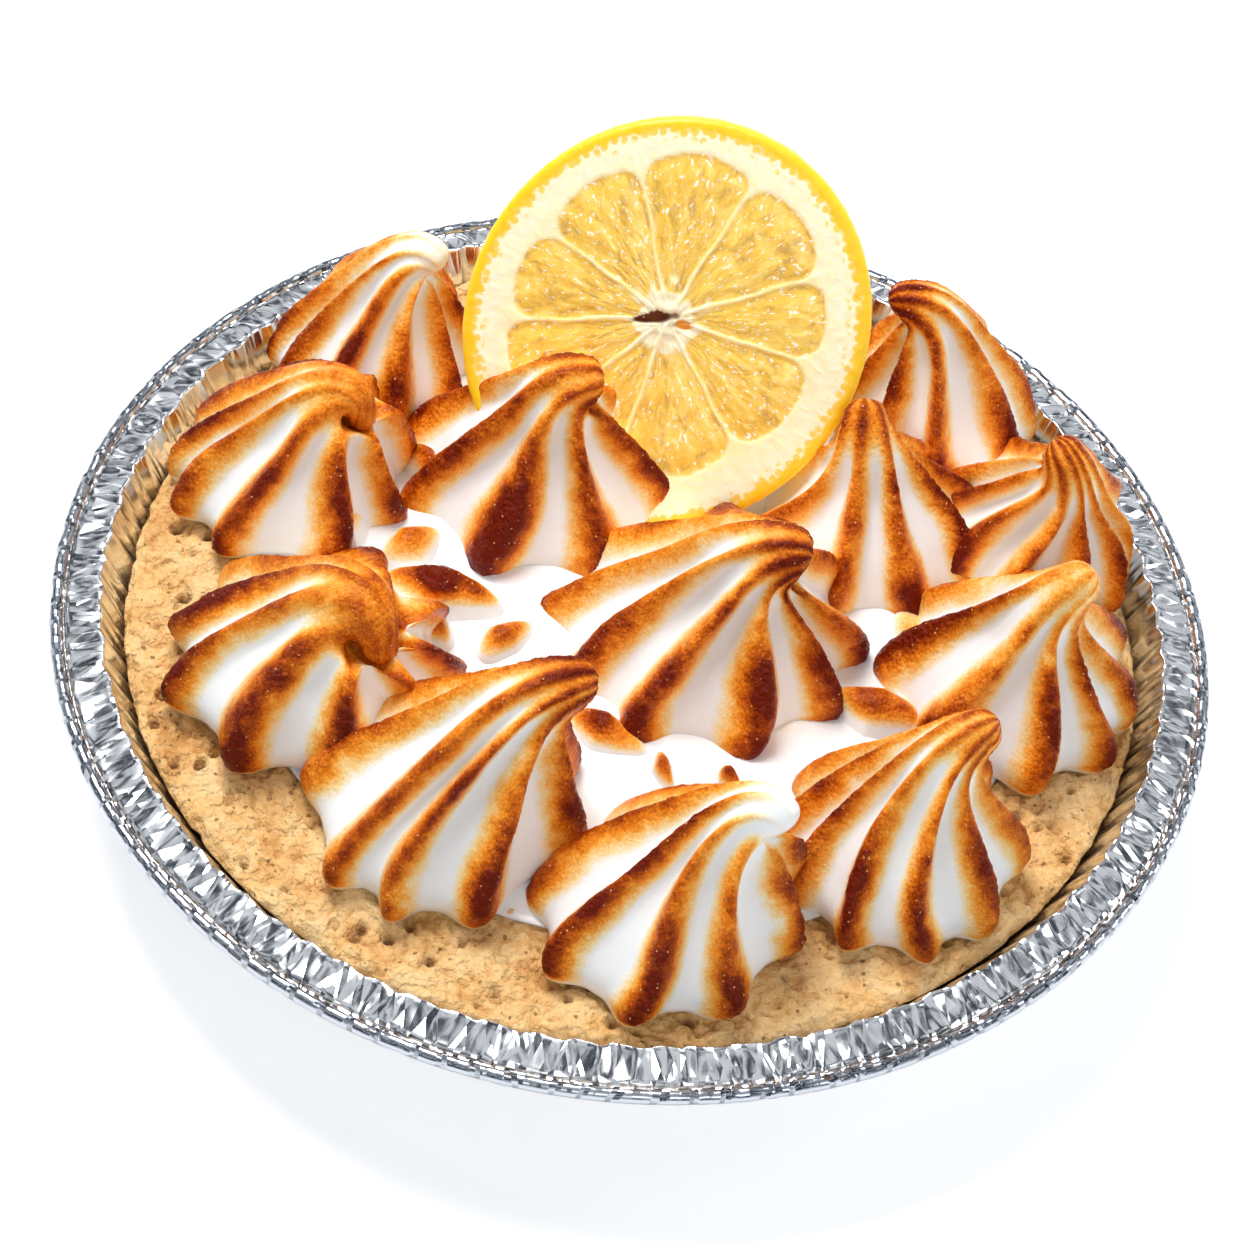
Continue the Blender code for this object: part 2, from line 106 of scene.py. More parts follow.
def lattice_noise(points: Array, size: float, seed: int) -> Array:
    """Smooth noise from 0 to 1, from values fixed at the corners of a grid.

    Args:
        points: places, one row each, in millimetres.
        size: the width of one grid cell, in millimetres.
        seed: picks one of many noises.

    Returns:
        One value for each place.
    """
    cell = points / size
    corner = np.floor(cell).astype(np.int64)
    share = ease(0.0, 1.0, cell - corner)
    total = np.zeros(len(points))
    for step in np.ndindex(2, 2, 2):
        at = corner + np.array(step)
        key = np.bitwise_xor.reduce(at * SCATTER, axis=1) ^ (seed * SEED_STEP)
        key = ((key ^ (key >> 13)) * STIR) & 0x7FFFFFFF
        value = ((key ^ (key >> 15)) & 0xFFFF) / 65535.0
        weight = np.ones(len(points))
        for axis in range(3):
            weight *= share[:, axis] if step[axis] else 1.0 - share[:, axis]
        total += weight * value
    return total


def lumps(points: Array, sizes: Sequence[float], seed: int) -> Array:
    """Add noises of several sizes, each as strong as it is wide, from -1 to 1.

    Args:
        points: places in millimetres.
        sizes: widths of the noises, in millimetres.
        seed: picks one of many noises.

    Returns:
        One value for each place.
    """
    total = np.zeros(len(points))
    for order, size in enumerate(sizes):
        total += size * (2.0 * lattice_noise(points, size, seed + 17 * order) - 1.0)
    return total / sum(sizes)


def smooth_curve(at: Array, knots: Sequence[Pair]) -> Array:
    """Read a smooth curve through a few points.

    Args:
        at: where to read it.
        knots: (place, value) pairs in order.

    Returns:
        The curve's value at each place.
    """
    x = np.array([knot[0] for knot in knots])
    y = np.array([knot[1] for knot in knots])
    slope = np.gradient(y, x)
    index = np.clip(np.searchsorted(x, at, side="right") - 1, 0, len(x) - 2)
    width = x[index + 1] - x[index]
    share = np.clip((at - x[index]) / width, 0.0, 1.0)
    rest = 1.0 - share
    return (y[index] * rest * rest * (1.0 + 2.0 * share)
            + y[index + 1] * share * share * (3.0 - 2.0 * share)
            + slope[index] * width * share * rest * rest
            - slope[index + 1] * width * share * share * rest)


# Meshes by operator


def begin() -> None:
    """Leave edit mode and clear the selection."""
    if bpy.context.object and bpy.context.object.mode != "OBJECT":
        bpy.ops.object.mode_set(mode="OBJECT")
    bpy.ops.object.select_all(action="DESELECT")


def only(obj: Piece) -> None:
    """Make one object the active and only selected one."""
    begin()
    bpy.context.view_layer.objects.active = obj
    obj.select_set(True)


def apply(obj: Piece, kind: str, **settings: Any) -> None:
    """Add one modifier to an object and apply it.

    Args:
        obj: the object.
        kind: the modifier's type.
        settings: the modifier's values by name.
    """
    only(obj)
    modifier = obj.modifiers.new(kind.lower(), kind)
    for name, value in settings.items():
        setattr(modifier, name, value)
    bpy.ops.object.modifier_apply(modifier=modifier.name)


def points_of(obj: Piece) -> Array:
    """Read an object's vertices in millimetres."""
    flat = np.empty(len(obj.data.vertices) * 3)
    obj.data.vertices.foreach_get("co", flat)
    return flat.reshape(-1, 3) / MM


def move_points(obj: Piece, points: Array) -> None:
    """Write an object's vertices, given in millimetres."""
    obj.data.vertices.foreach_set("co", (points * MM).ravel())
    obj.data.update()


def mark(obj: Piece, name: str, values: Array) -> None:
    """Store one number on each vertex under a name that a finish reads."""
    attribute = obj.data.attributes.new(name, "FLOAT", "POINT")
    attribute.data.foreach_set("value", values.astype(np.float32))


def map_surface(obj: Piece, name: str, across: Array, along: Array,
                period: float) -> None:
    """Lay a UV map over an object of quads from one pair of numbers on each vertex.

    Args:
        obj: the object.
        name: the map's name.
        across: the first number, which runs round the object.
        along: the second number.
        period: how much the first number grows in a whole turn.
    """
    layer = obj.data.uv_layers.new(name=name)
    corners = np.empty(len(obj.data.loops), dtype=np.int64)
    obj.data.loops.foreach_get("vertex_index", corners)
    turns = across[corners].reshape(-1, 4)
    high = turns.max(axis=1, keepdims=True)
    turns = np.where(high - turns > period / 2.0, turns + period, turns)
    pairs = np.stack([turns.ravel(), along[corners]], axis=-1)
    layer.data.foreach_set("uv", pairs.ravel())


def ball_grid(name: str, around: int, rings: int) -> tuple[Piece, Array, Array]:
    """Add a ball whose rings a piece is then shaped from.

    Args:
        name: the piece's name.
        around: corners round each ring, in fours.
        rings: rings from pole to pole, in fours.

    Returns:
        The object, and for each vertex its share of the way from the lower pole to the upper,
        and its angle round the middle.
    """
    begin()
    bpy.ops.mesh.primitive_uv_sphere_add(segments=around // 4, ring_count=rings // 4, radius=1.0,
                                         calc_uvs=False)
    obj = bpy.context.object
    obj.name = name
    apply(obj, "SUBSURF", subdivision_type="SIMPLE", levels=2, render_levels=2)
    unit = points_of(obj)
    unit /= np.linalg.norm(unit, axis=1)[:, None]
    share = 1.0 - np.arccos(np.clip(unit[:, 2], -1.0, 1.0)) / math.pi
    angle = np.arctan2(unit[:, 1], unit[:, 0])
    return obj, share, angle


def spun(name: str, profile: Array, steps: int) -> Piece:
    """Turn a line of (radius, height) points into a skin.

    Args:
        name: the piece's name.
        profile: the points, in millimetres.
        steps: steps round the axis.

    Returns:
        The skin as an object, with its seam merged.
    """
    begin()
    mesh = bpy.data.meshes.new(name)
    verts = [(radius * MM, 0.0, height * MM) for radius, height in profile]
    mesh.from_pydata(verts, [(i, i + 1) for i in range(len(verts) - 1)], [])
    obj = bpy.data.objects.new(name, mesh)
    bpy.context.scene.collection.objects.link(obj)
    apply(obj, "SCREW", axis="Z", angle=2.0 * math.pi, steps=steps, render_steps=steps,
          use_merge_vertices=True, merge_threshold=0.000005)
    only(obj)
    bpy.ops.object.mode_set(mode="EDIT")
    bpy.ops.mesh.select_all(action="SELECT")
    bpy.ops.mesh.normals_make_consistent(inside=False)
    bpy.ops.object.mode_set(mode="OBJECT")
    return obj


def settle(obj: Piece, material: Material, node: str) -> None:
    """Dress a finished piece, hang it under the root body and hide the CAD node that it stands for.

    Args:
        obj: the piece.
        material: its finish.
        node: the CAD node that the piece stands for.
    """
    only(obj)
    bpy.ops.object.shade_smooth()
    obj.data.materials.clear()
    obj.data.materials.append(material)
    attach(obj, "root")
    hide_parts(node)
    log.info("%s: %d faces, for %s", obj.name, len(obj.data.polygons), node)


# Materials by node


class Tree:
    """A node tree with short ways to add and join nodes."""

    def __init__(self, tree: bpy.types.NodeTree) -> None:
        """Keep the tree that nodes are added to."""
        self.tree = tree

    def feed(self, node: bpy.types.Node, inputs: dict[Any, Any]) -> None:
        """Set or link a node's inputs.

        Args:
            node: the node.
            inputs: values or output sockets by input name or number.
        """
        for name, value in inputs.items():
            if isinstance(value, Socket):
                self.tree.links.new(value, node.inputs[name])
            else:
                node.inputs[name].default_value = value

    def add(self, kind: str, inputs: dict[Any, Any] | None = None, **settings: Any) -> bpy.types.Node:
        """Add a node, set its properties, and set or link its inputs.

        Args:
            kind: the node's type.
            inputs: values or output sockets by input name or number.
            settings: the node's properties.

        Returns:
            The node.
        """
        node = self.tree.nodes.new(kind)
        for name, value in settings.items():
            setattr(node, name, value)
        self.feed(node, inputs or {})
        return node

    def math(self, operation: str, *values: Any, clamp: bool = False) -> Socket:
        """Add a Math node and return its output."""
        node = self.add("ShaderNodeMath", dict(enumerate(values)), operation=operation, use_clamp=clamp)
        return node.outputs[0]

    def times(self, first: Any, second: Any) -> Socket:
        """Multiply two values."""
        return self.math("MULTIPLY", first, second)

    def times_plus(self, first: Any, second: Any, third: Any, clamp: bool = False) -> Socket:
        """Multiply the first two values and add the third."""
        return self.math("MULTIPLY_ADD", first, second, third, clamp=clamp)

    def less(self, first: Any, second: Any) -> Socket:
        """Take the second value from the first."""
        return self.math("SUBTRACT", first, second)

    def ramp(self, factor: Socket, *stops: tuple) -> Socket:
        """Add a colour ramp.

        Args:
            factor: what the ramp reads.
            stops: (place, colour) pairs, a colour being three numbers or one grey.

        Returns:
            The colour output.
        """
        node = self.add("ShaderNodeValToRGB", {0: factor})
        band = node.color_ramp.elements
        while len(band) < len(stops):
            band.new(0.5)
        for element, (place, colour) in zip(band, stops):
            element.position = place
            shade = (colour, colour, colour) if isinstance(colour, (int, float)) else colour
            element.color = (*shade, 1.0)
        return node.outputs[0]

    def mix(self, factor: Any, first: Any, second: Any) -> Socket:
        """Mix two colours and return the result."""
        node = self.add("ShaderNodeMix", {0: factor}, data_type="RGBA", clamp_factor=True)
        for index, colour in ((6, first), (7, second)):
            self.feed(node, {index: colour if isinstance(colour, Socket) else (*colour, 1.0)})
        return node.outputs[2]

    def noise(self, where: Any, scale: Any, detail: float = 2.0, roughness: float = 0.5) -> Socket:
        """Add a Noise node and return its value."""
        return self.add("ShaderNodeTexNoise", {"Vector": where, "Scale": scale, "Detail": detail,
                                               "Roughness": roughness}).outputs[0]

    def cells(self, where: Any, scale: Any, randomness: float = 1.0, **settings: Any) -> Any:
        """Add a Voronoi node and return its outputs."""
        return self.add("ShaderNodeTexVoronoi", {"Vector": where, "Scale": scale, "Randomness": randomness},
                        **settings).outputs

    def channels(self, colour: Socket) -> Any:
        """Split a colour and return its parts."""
        return self.add("ShaderNodeSeparateColor", {0: colour}).outputs

    def drops(self, where: Any, scale: float, size: float, fewest: float, space: str = "3D") -> Socket:
        """Scatter small round drops.

        Args:
            where: the coordinates that the drops lie in.
            scale: how many drops might lie in one unit.
            size: a drop's size, as a share of the room that it has.
            fewest: the share of places that stay empty.
            space: the texture's dimensions.

        Returns:
            A mask of the drops.
        """
        found = self.cells(where, scale, voronoi_dimensions=space)
        return self.times(self.math("LESS_THAN", found["Distance"], size),
                          self.math("GREATER_THAN", self.channels(found["Color"])[0], fewest))

    def bump(self, height: Socket, distance: float, strength: float = 1.0) -> Socket:
        """Turn a height into a normal."""
        return self.add("ShaderNodeBump", {"Strength": strength, "Distance": distance,
                                           "Height": height}).outputs[0]

    def attribute(self, name: str) -> Socket:
        """Read a number stored on the surface."""
        return self.add("ShaderNodeAttribute", attribute_name=name).outputs["Fac"]

    def unwrapped(self, name: str) -> Socket:
        """Read one of the piece's own maps."""
        return self.add("ShaderNodeUVMap", uv_map=name).outputs[0]

    def place(self) -> Socket:
        """Read the place on the piece, in metres."""
        return self.add("ShaderNodeTexCoord").outputs["Object"]


def new_finish(name: str) -> tuple[Material, Tree, bpy.types.Node]:
    """Start a material.

    Args:
        name: the material's name.

    Returns:
        The material, its tree, and its Principled shader.
    """
    material = bpy.data.materials.new(name)
    material.use_nodes = True
    return material, Tree(material.node_tree), material.node_tree.nodes["Principled BSDF"]


def speckle_group() -> bpy.types.NodeTree:
    """Make the baked speckle: grain and small blisters for whatever has browned in the oven.

    Returns:
        The node group, with a tone that changes over the surface and a height for bump.
    """
    group = bpy.data.node_groups.new("baked speckle", "ShaderNodeTree")
    group.interface.new_socket("Vector", in_out="INPUT", socket_type="NodeSocketVector")
    for name in ("Grain Scale", "Blister Scale"):
        group.interface.new_socket(name, in_out="INPUT", socket_type="NodeSocketFloat")
    for name in ("Tone", "Height"):
        group.interface.new_socket(name, in_out="OUTPUT", socket_type="NodeSocketFloat")
    tree = Tree(group)
    given = tree.add("NodeGroupInput").outputs
    grain = tree.noise(given["Vector"], given["Grain Scale"], 3.0, 0.6)
    dome = tree.less(1.0, tree.cells(given["Vector"], given["Blister Scale"])["Distance"])
    tree.add("NodeGroupOutput", {"Tone": grain, "Height": tree.times_plus(dome, 0.6, tree.times(grain, 0.4))})
    return group


@dataclass(frozen=True)
class MeringueFinish:
    """Whipped egg white, white in the folds and toasted on the ridges, with light sugar beads that are partly
    painted glints.
    """

    white: Colour = (0.92, 0.935, 0.94)
    cream: Colour = (0.96, 0.74, 0.37)
    gold: Colour = (0.95, 0.43, 0.065)
    orange: Colour = (0.82, 0.235, 0.012)
    brown: Colour = (0.47, 0.080, 0.002)
    dark: Colour = (0.16, 0.010, 0.0005)
    # colour of the sugar beads, partly real syrup beads and partly painted glints
    sugar_and_glint: Colour = (0.90, 0.52, 0.20)
    grain_scale: float = 2200.0
    blister_scale: float = 1100.0
    patch_scale: float = 420.0
    sugar_scale: float = 1150.0
    relief: float = 0.0008
    name: str = "toasted meringue"

    def build(self, speckle: bpy.types.NodeTree) -> Material:
        """Make the material.

        Args:
            speckle: the baked speckle group.

        Returns:
            The material, which reads the attribute toast.
        """
        material, tree, shader = new_finish(self.name)
        place = tree.place()
        toast = tree.attribute("toast")
        spots = tree.add("ShaderNodeGroup", {"Vector": place, "Grain Scale": self.grain_scale,
                                             "Blister Scale": self.blister_scale}, node_tree=speckle).outputs
        middle = tree.times(toast, tree.less(1.25, toast))
        swing = tree.times(middle, tree.less(spots["Tone"], 0.5))
        broad = tree.less(tree.noise(place, self.patch_scale, 5.0, 0.65), 0.5)
        shade = tree.math("ADD", toast, tree.times(swing, 1.3))
        shade = tree.times_plus(tree.times(broad, middle), 1.2, shade, clamp=True)
        colour = tree.ramp(shade, (0.05, self.white), (0.17, self.cream), (0.33, self.gold),
                           (0.48, self.orange), (0.67, self.brown), (0.89, self.dark))
        # Sugar beads painted lighter gold on the toast: partly real beads of syrup, partly painted glints on
        # the glossy blisters.
        sugar_beads_and_glints = tree.times(tree.drops(place, self.sugar_scale, 0.20, 0.80),
                           tree.ramp(toast, (0.40, 0.0), (0.70, 0.75)))
        tree.feed(shader, {
            "Base Color": tree.mix(sugar_beads_and_glints, colour, self.sugar_and_glint),
            "Roughness": tree.ramp(toast, (0.0, 0.22), (0.35, 0.30), (1.0, 0.20)),
            "Normal": tree.bump(tree.times(spots["Height"], toast), self.relief),
            "Coat Weight": tree.ramp(toast, (0.08, 0.20), (0.40, 0.03)),
            "Coat Roughness": 0.12,
            "Specular IOR Level": 0.11,
            "Subsurface Weight": 0.05,
            "Subsurface Radius": (1.0, 0.85, 0.7),
            "Subsurface Scale": 0.0015,
        })
        return material


@dataclass(frozen=True)
class CrustFinish:
    """Crumbly baked crust, golden tan, with painted shade in its pores and docking holes, the crowns of its
    lumps painted paler and its cracks painted darker.
    """

    pale: Colour = (0.85, 0.58, 0.275)
    tan: Colour = (0.79, 0.47, 0.180)
    baked: Colour = (0.58, 0.29, 0.09)
    # painted shade for the pores and docking holes
    pore_shade: Colour = (0.17, 0.065, 0.018)
    grain_scale: float = 700.0
    blister_scale: float = 420.0
    cloud_scale: float = 110.0
    pore_scale: float = 520.0
    crumb_scale: float = 640.0
    relief: float = 0.0010
    name: str = "baked crust"

    def build(self, speckle: bpy.types.NodeTree) -> Material:
        """Make the material.

        Args:
            speckle: the baked speckle group.

        Returns:
            The material, which reads the attributes hollow and crown.
        """
        material, tree, shader = new_finish(self.name)
        place = tree.place()
        spots = tree.add("ShaderNodeGroup", {"Vector": place, "Grain Scale": self.grain_scale,
                                             "Blister Scale": self.blister_scale}, node_tree=speckle).outputs
        broad = tree.noise(place, self.cloud_scale, 3.0, 0.6)
        fine = tree.times_plus(spots["Tone"], 0.45, tree.times(broad, 0.6))
        # Painted light and shade: the crowns of the lumps are painted paler and the cracks darker.
        lift = tree.less(fine, tree.times(tree.attribute("crown"), 0.25))
        colour = tree.ramp(lift, (0.28, self.pale), (0.46, self.tan), (0.64, self.baked))
        pins = tree.cells(place, self.pore_scale)
        lot = tree.channels(pins["Color"])
        pin = tree.times(tree.math("LESS_THAN", pins["Distance"], tree.times_plus(lot[1], 0.22, 0.03)),
                         tree.math("GREATER_THAN", lot[0], 0.45))
        # Painted shade: the docking holes and the small pores are painted dark brown.
        hollow = tree.math("MAXIMUM", tree.attribute("hollow"), tree.times(pin, 0.70))
        height = tree.less(spots["Height"], tree.times(pin, 2.0))
        height = tree.times_plus(tree.noise(place, self.crumb_scale, 2.0, 0.55), 1.6, height)
        tree.feed(shader, {
            "Base Color": tree.mix(hollow, colour, self.pore_shade),
            "Roughness": tree.ramp(broad, (0.3, 0.62), (0.7, 0.8)),
            "Normal": tree.bump(height, self.relief, 0.9),
            "Specular IOR Level": 0.25,
        })
        return material


@dataclass(frozen=True)
class FoilFinish:
    """Thin bright aluminium foil with fine creases, browned a little in the rim's groove, and painted darker
    and bluer on the rolled bead as painted shade.
    """

    bright: Colour = (0.84, 0.86, 0.90)
    stained: Colour = (0.50, 0.36, 0.24)
    # painted shade for the rolled bead, standing in for dark surroundings in its reflection
    bead: Colour = (0.50, 0.53, 0.59)
    groove_radius_mm: float = 99.0
    groove_width_mm: float = 0.7
    facets_per_radian: float = 36.0
    facet_length_mm: float = 7.0
    stitches_per_radian: float = 300.0
    stitch_slant: float = 2600.0
    relief: float = 0.0008
    name: str = "crimped foil"

    def build(self) -> Material:
        """Make the material."""
        material, tree, shader = new_finish(self.name)
        place = tree.place()
        flat = tree.add("ShaderNodeVectorMath", {0: place, 1: (1.0, 1.0, 0.0)}, operation="MULTIPLY")
        radius = tree.add("ShaderNodeVectorMath", {0: flat.outputs[0]}, operation="LENGTH").outputs["Value"]
        parts = tree.add("ShaderNodeSeparateXYZ", {0: place}).outputs
        bearing = tree.math("ARCTAN2", parts[1], parts[0])
        past_groove = tree.less(radius, self.groove_radius_mm * MM)
        off = tree.math("DIVIDE", tree.math("ABSOLUTE", past_groove), self.groove_width_mm * MM)
        near = tree.math("SUBTRACT", 1.0, off, clamp=True)
        slant = tree.times_plus(past_groove, self.stitch_slant, tree.times(bearing, self.stitches_per_radian))
        stitch = tree.ramp(tree.math("SINE", slant), (0.1, 0.25), (0.6, 1.0))
        stain = tree.times(near, tree.times(stitch, 0.9))
        on_bead = tree.math("GREATER_THAN", radius, (self.groove_radius_mm + 0.2) * MM)
        # Painted shade: the rolled bead gets a darker, bluer copy of the foil colour, standing in for dark
        # surroundings in its reflection.
        foil_with_bead_shade = tree.mix(on_bead, self.bright, self.bead)
        around = tree.times(bearing, self.facets_per_radian)
        outward = tree.times(radius, 1.0 / (self.facet_length_mm * MM))
        spot = tree.add("ShaderNodeCombineXYZ", {0: around, 1: outward}).outputs[0]
        facets = tree.cells(spot, 1.0, voronoi_dimensions="2D", distance="CHEBYCHEV")["Distance"]
        facets = tree.times(facets, tree.times_plus(on_bead, -0.75, 1.0))
        crimps = tree.math("PINGPONG", tree.times_plus(tree.noise(place, 90.0, 1.0), 3.0, around), 1.0)
        crimps = tree.times(tree.ramp(crimps, (0.0, 1.0), (0.35, 0.0)), on_bead)
        tree.feed(shader, {
            "Base Color": tree.mix(stain, foil_with_bead_shade, self.stained),
            "Roughness": tree.ramp(tree.noise(place, 260.0, 3.0, 0.7), (0.3, 0.13), (0.7, 0.24)),
            "Normal": tree.bump(tree.times_plus(crimps, -0.9, facets), self.relief),
            "Metallic": 1.0,
        })
        return material


@dataclass(frozen=True)
class LemonFinish:
    """A cut lemon: juice segments, pale membranes and pith, and a yellow rind, with white glints painted into
    its colour and a painted glow of its own colour standing in for backlight.
    """

    flesh: Colour = (0.88, 0.54, 0.07)
    deep: Colour = (0.62, 0.38, 0.09)
    bright: Colour = (0.97, 0.72, 0.18)
    pith: Colour = (0.96, 0.87, 0.58)
    inner_pith: Colour = (0.98, 0.78, 0.30)
    outer_pith: Colour = (1.0, 0.97, 0.85)
    rind: Colour = (0.93, 0.57, 0.006)
    gland: Colour = (0.93, 0.58, 0.02)
    pocket: Colour = (0.80, 0.30, 0.03)
    # painted shade for the sunk slit in the core
    hole: Colour = (0.16, 0.025, 0.003)
    # painted highlight colour for the glints
    painted_glint: Colour = (1.0, 0.98, 0.90)
    grain_scale: float = 900.0
    ragged_scale: float = 500.0
    small_glint_scale: float = 1300.0
    relief: float = 0.0005
    # strength of the painted glow: the slice emits its own colour, standing in for light shining through it
    glow: float = 0.20
    name: str = "cut lemon"

    def build(self) -> Material:
        """Make the material, which reads the maps polar and ring and four attributes."""
        material, tree, shader = new_finish(self.name)
        place, edge, flesh = tree.place(), tree.attribute("edge"), tree.attribute("flesh")
        polar = tree.unwrapped("polar")
        bend = tree.add("ShaderNodeTexNoise", {"Vector": polar, "Scale": 0.9, "Detail": 2.0}).outputs["Color"]
        polar = tree.add("ShaderNodeVectorMath", {0: bend, 1: (1.6, 1.6, 1.6), 2: polar},
                         operation="MULTIPLY_ADD").outputs[0]
        sacs = tree.cells(polar, 1.0, 0.9, voronoi_dimensions="2D", feature="SMOOTH_F1")
        walls = tree.cells(polar, 1.0, 0.9, voronoi_dimensions="2D", feature="DISTANCE_TO_EDGE")["Distance"]
        cloud = tree.noise(polar, 1.6, 3.0, 0.6)
        tone = tree.times_plus(tree.channels(sacs["Color"])[0], 0.28, tree.times(cloud, 0.75))
        juice = tree.ramp(tone, (0.30, self.deep), (0.46, self.flesh), (0.75, self.bright))
        juice = tree.mix(tree.times(tree.ramp(walls, (0.0, 1.0), (0.10, 0.0)), 0.22), juice, self.bright)
        pith = tree.mix(tree.ramp(edge, (0.17, 0.0), (0.26, 1.0), (0.60, 1.0), (0.86, 0.0)), self.pith,
                        self.inner_pith)
        grain = tree.noise(place, self.grain_scale, 2.0)
        pith = tree.mix(tree.ramp(grain, (0.45, 0.0), (0.75, 0.5)), pith, self.outer_pith)
        glands = tree.cells(tree.unwrapped("ring"), 1.0, 0.55, voronoi_dimensions="2D")["Distance"]
        spot = tree.ramp(glands, (0.30, 1.0), (0.42, 0.0))
        uneven = tree.times_plus(tree.noise(place, self.ragged_scale, 2.0), 0.09, tree.less(edge, 0.045))
        on_rind = tree.ramp(uneven, (0.925, 0.0), (0.950, 1.0))
        spot_band = tree.times(spot, tree.ramp(uneven, (0.885, 0.0), (0.915, 0.85)))
        colour = tree.mix(spot_band, pith, self.gland)
        colour = tree.mix(on_rind, colour, tree.mix(spot, self.rind, self.gland))
        colour = tree.mix(flesh, colour, juice)
        colour = tree.mix(tree.attribute("pocket"), colour, self.pocket)
        # Painted shade: the sunk slit in the core is painted near-black brown.
        colour = tree.mix(tree.attribute("hole"), colour, self.hole)
        # Painted glints: white highlight specks painted into the base colour, long ones on the juice sacs and
        # small round ones over the flesh and pith, also raised a little as bump.
        glint = tree.times(tree.drops(polar, 2.1, 0.25, 0.62, "2D"), flesh)
        glint = tree.times(glint, tree.ramp(cloud, (0.46, 0.0), (0.52, 1.0)))
        small_glints = tree.times(tree.drops(place, self.small_glint_scale, 0.24, 0.72),
                          tree.less(0.55, tree.times(on_rind, 0.55)))
        glint = tree.math("MAXIMUM", glint, small_glints)
        colour = tree.mix(tree.times(glint, 0.9), colour, self.painted_glint)
        height = tree.times_plus(sacs["Distance"], -0.6, tree.times(glint, 0.5))
        tree.feed(shader, {
            "Base Color": colour,
            "Roughness": tree.ramp(flesh, (0.0, 0.42), (1.0, 0.16)),
            "Normal": tree.bump(height, self.relief, 0.6),
            # Painted backlight: the slice glows with its own colour.
            "Emission Color": colour,
            "Emission Strength": self.glow,
            "Subsurface Weight": 0.15,
            "Subsurface Radius": (1.0, 0.6, 0.2),
            "Subsurface Scale": 0.003,
        })
        return material


# The tin


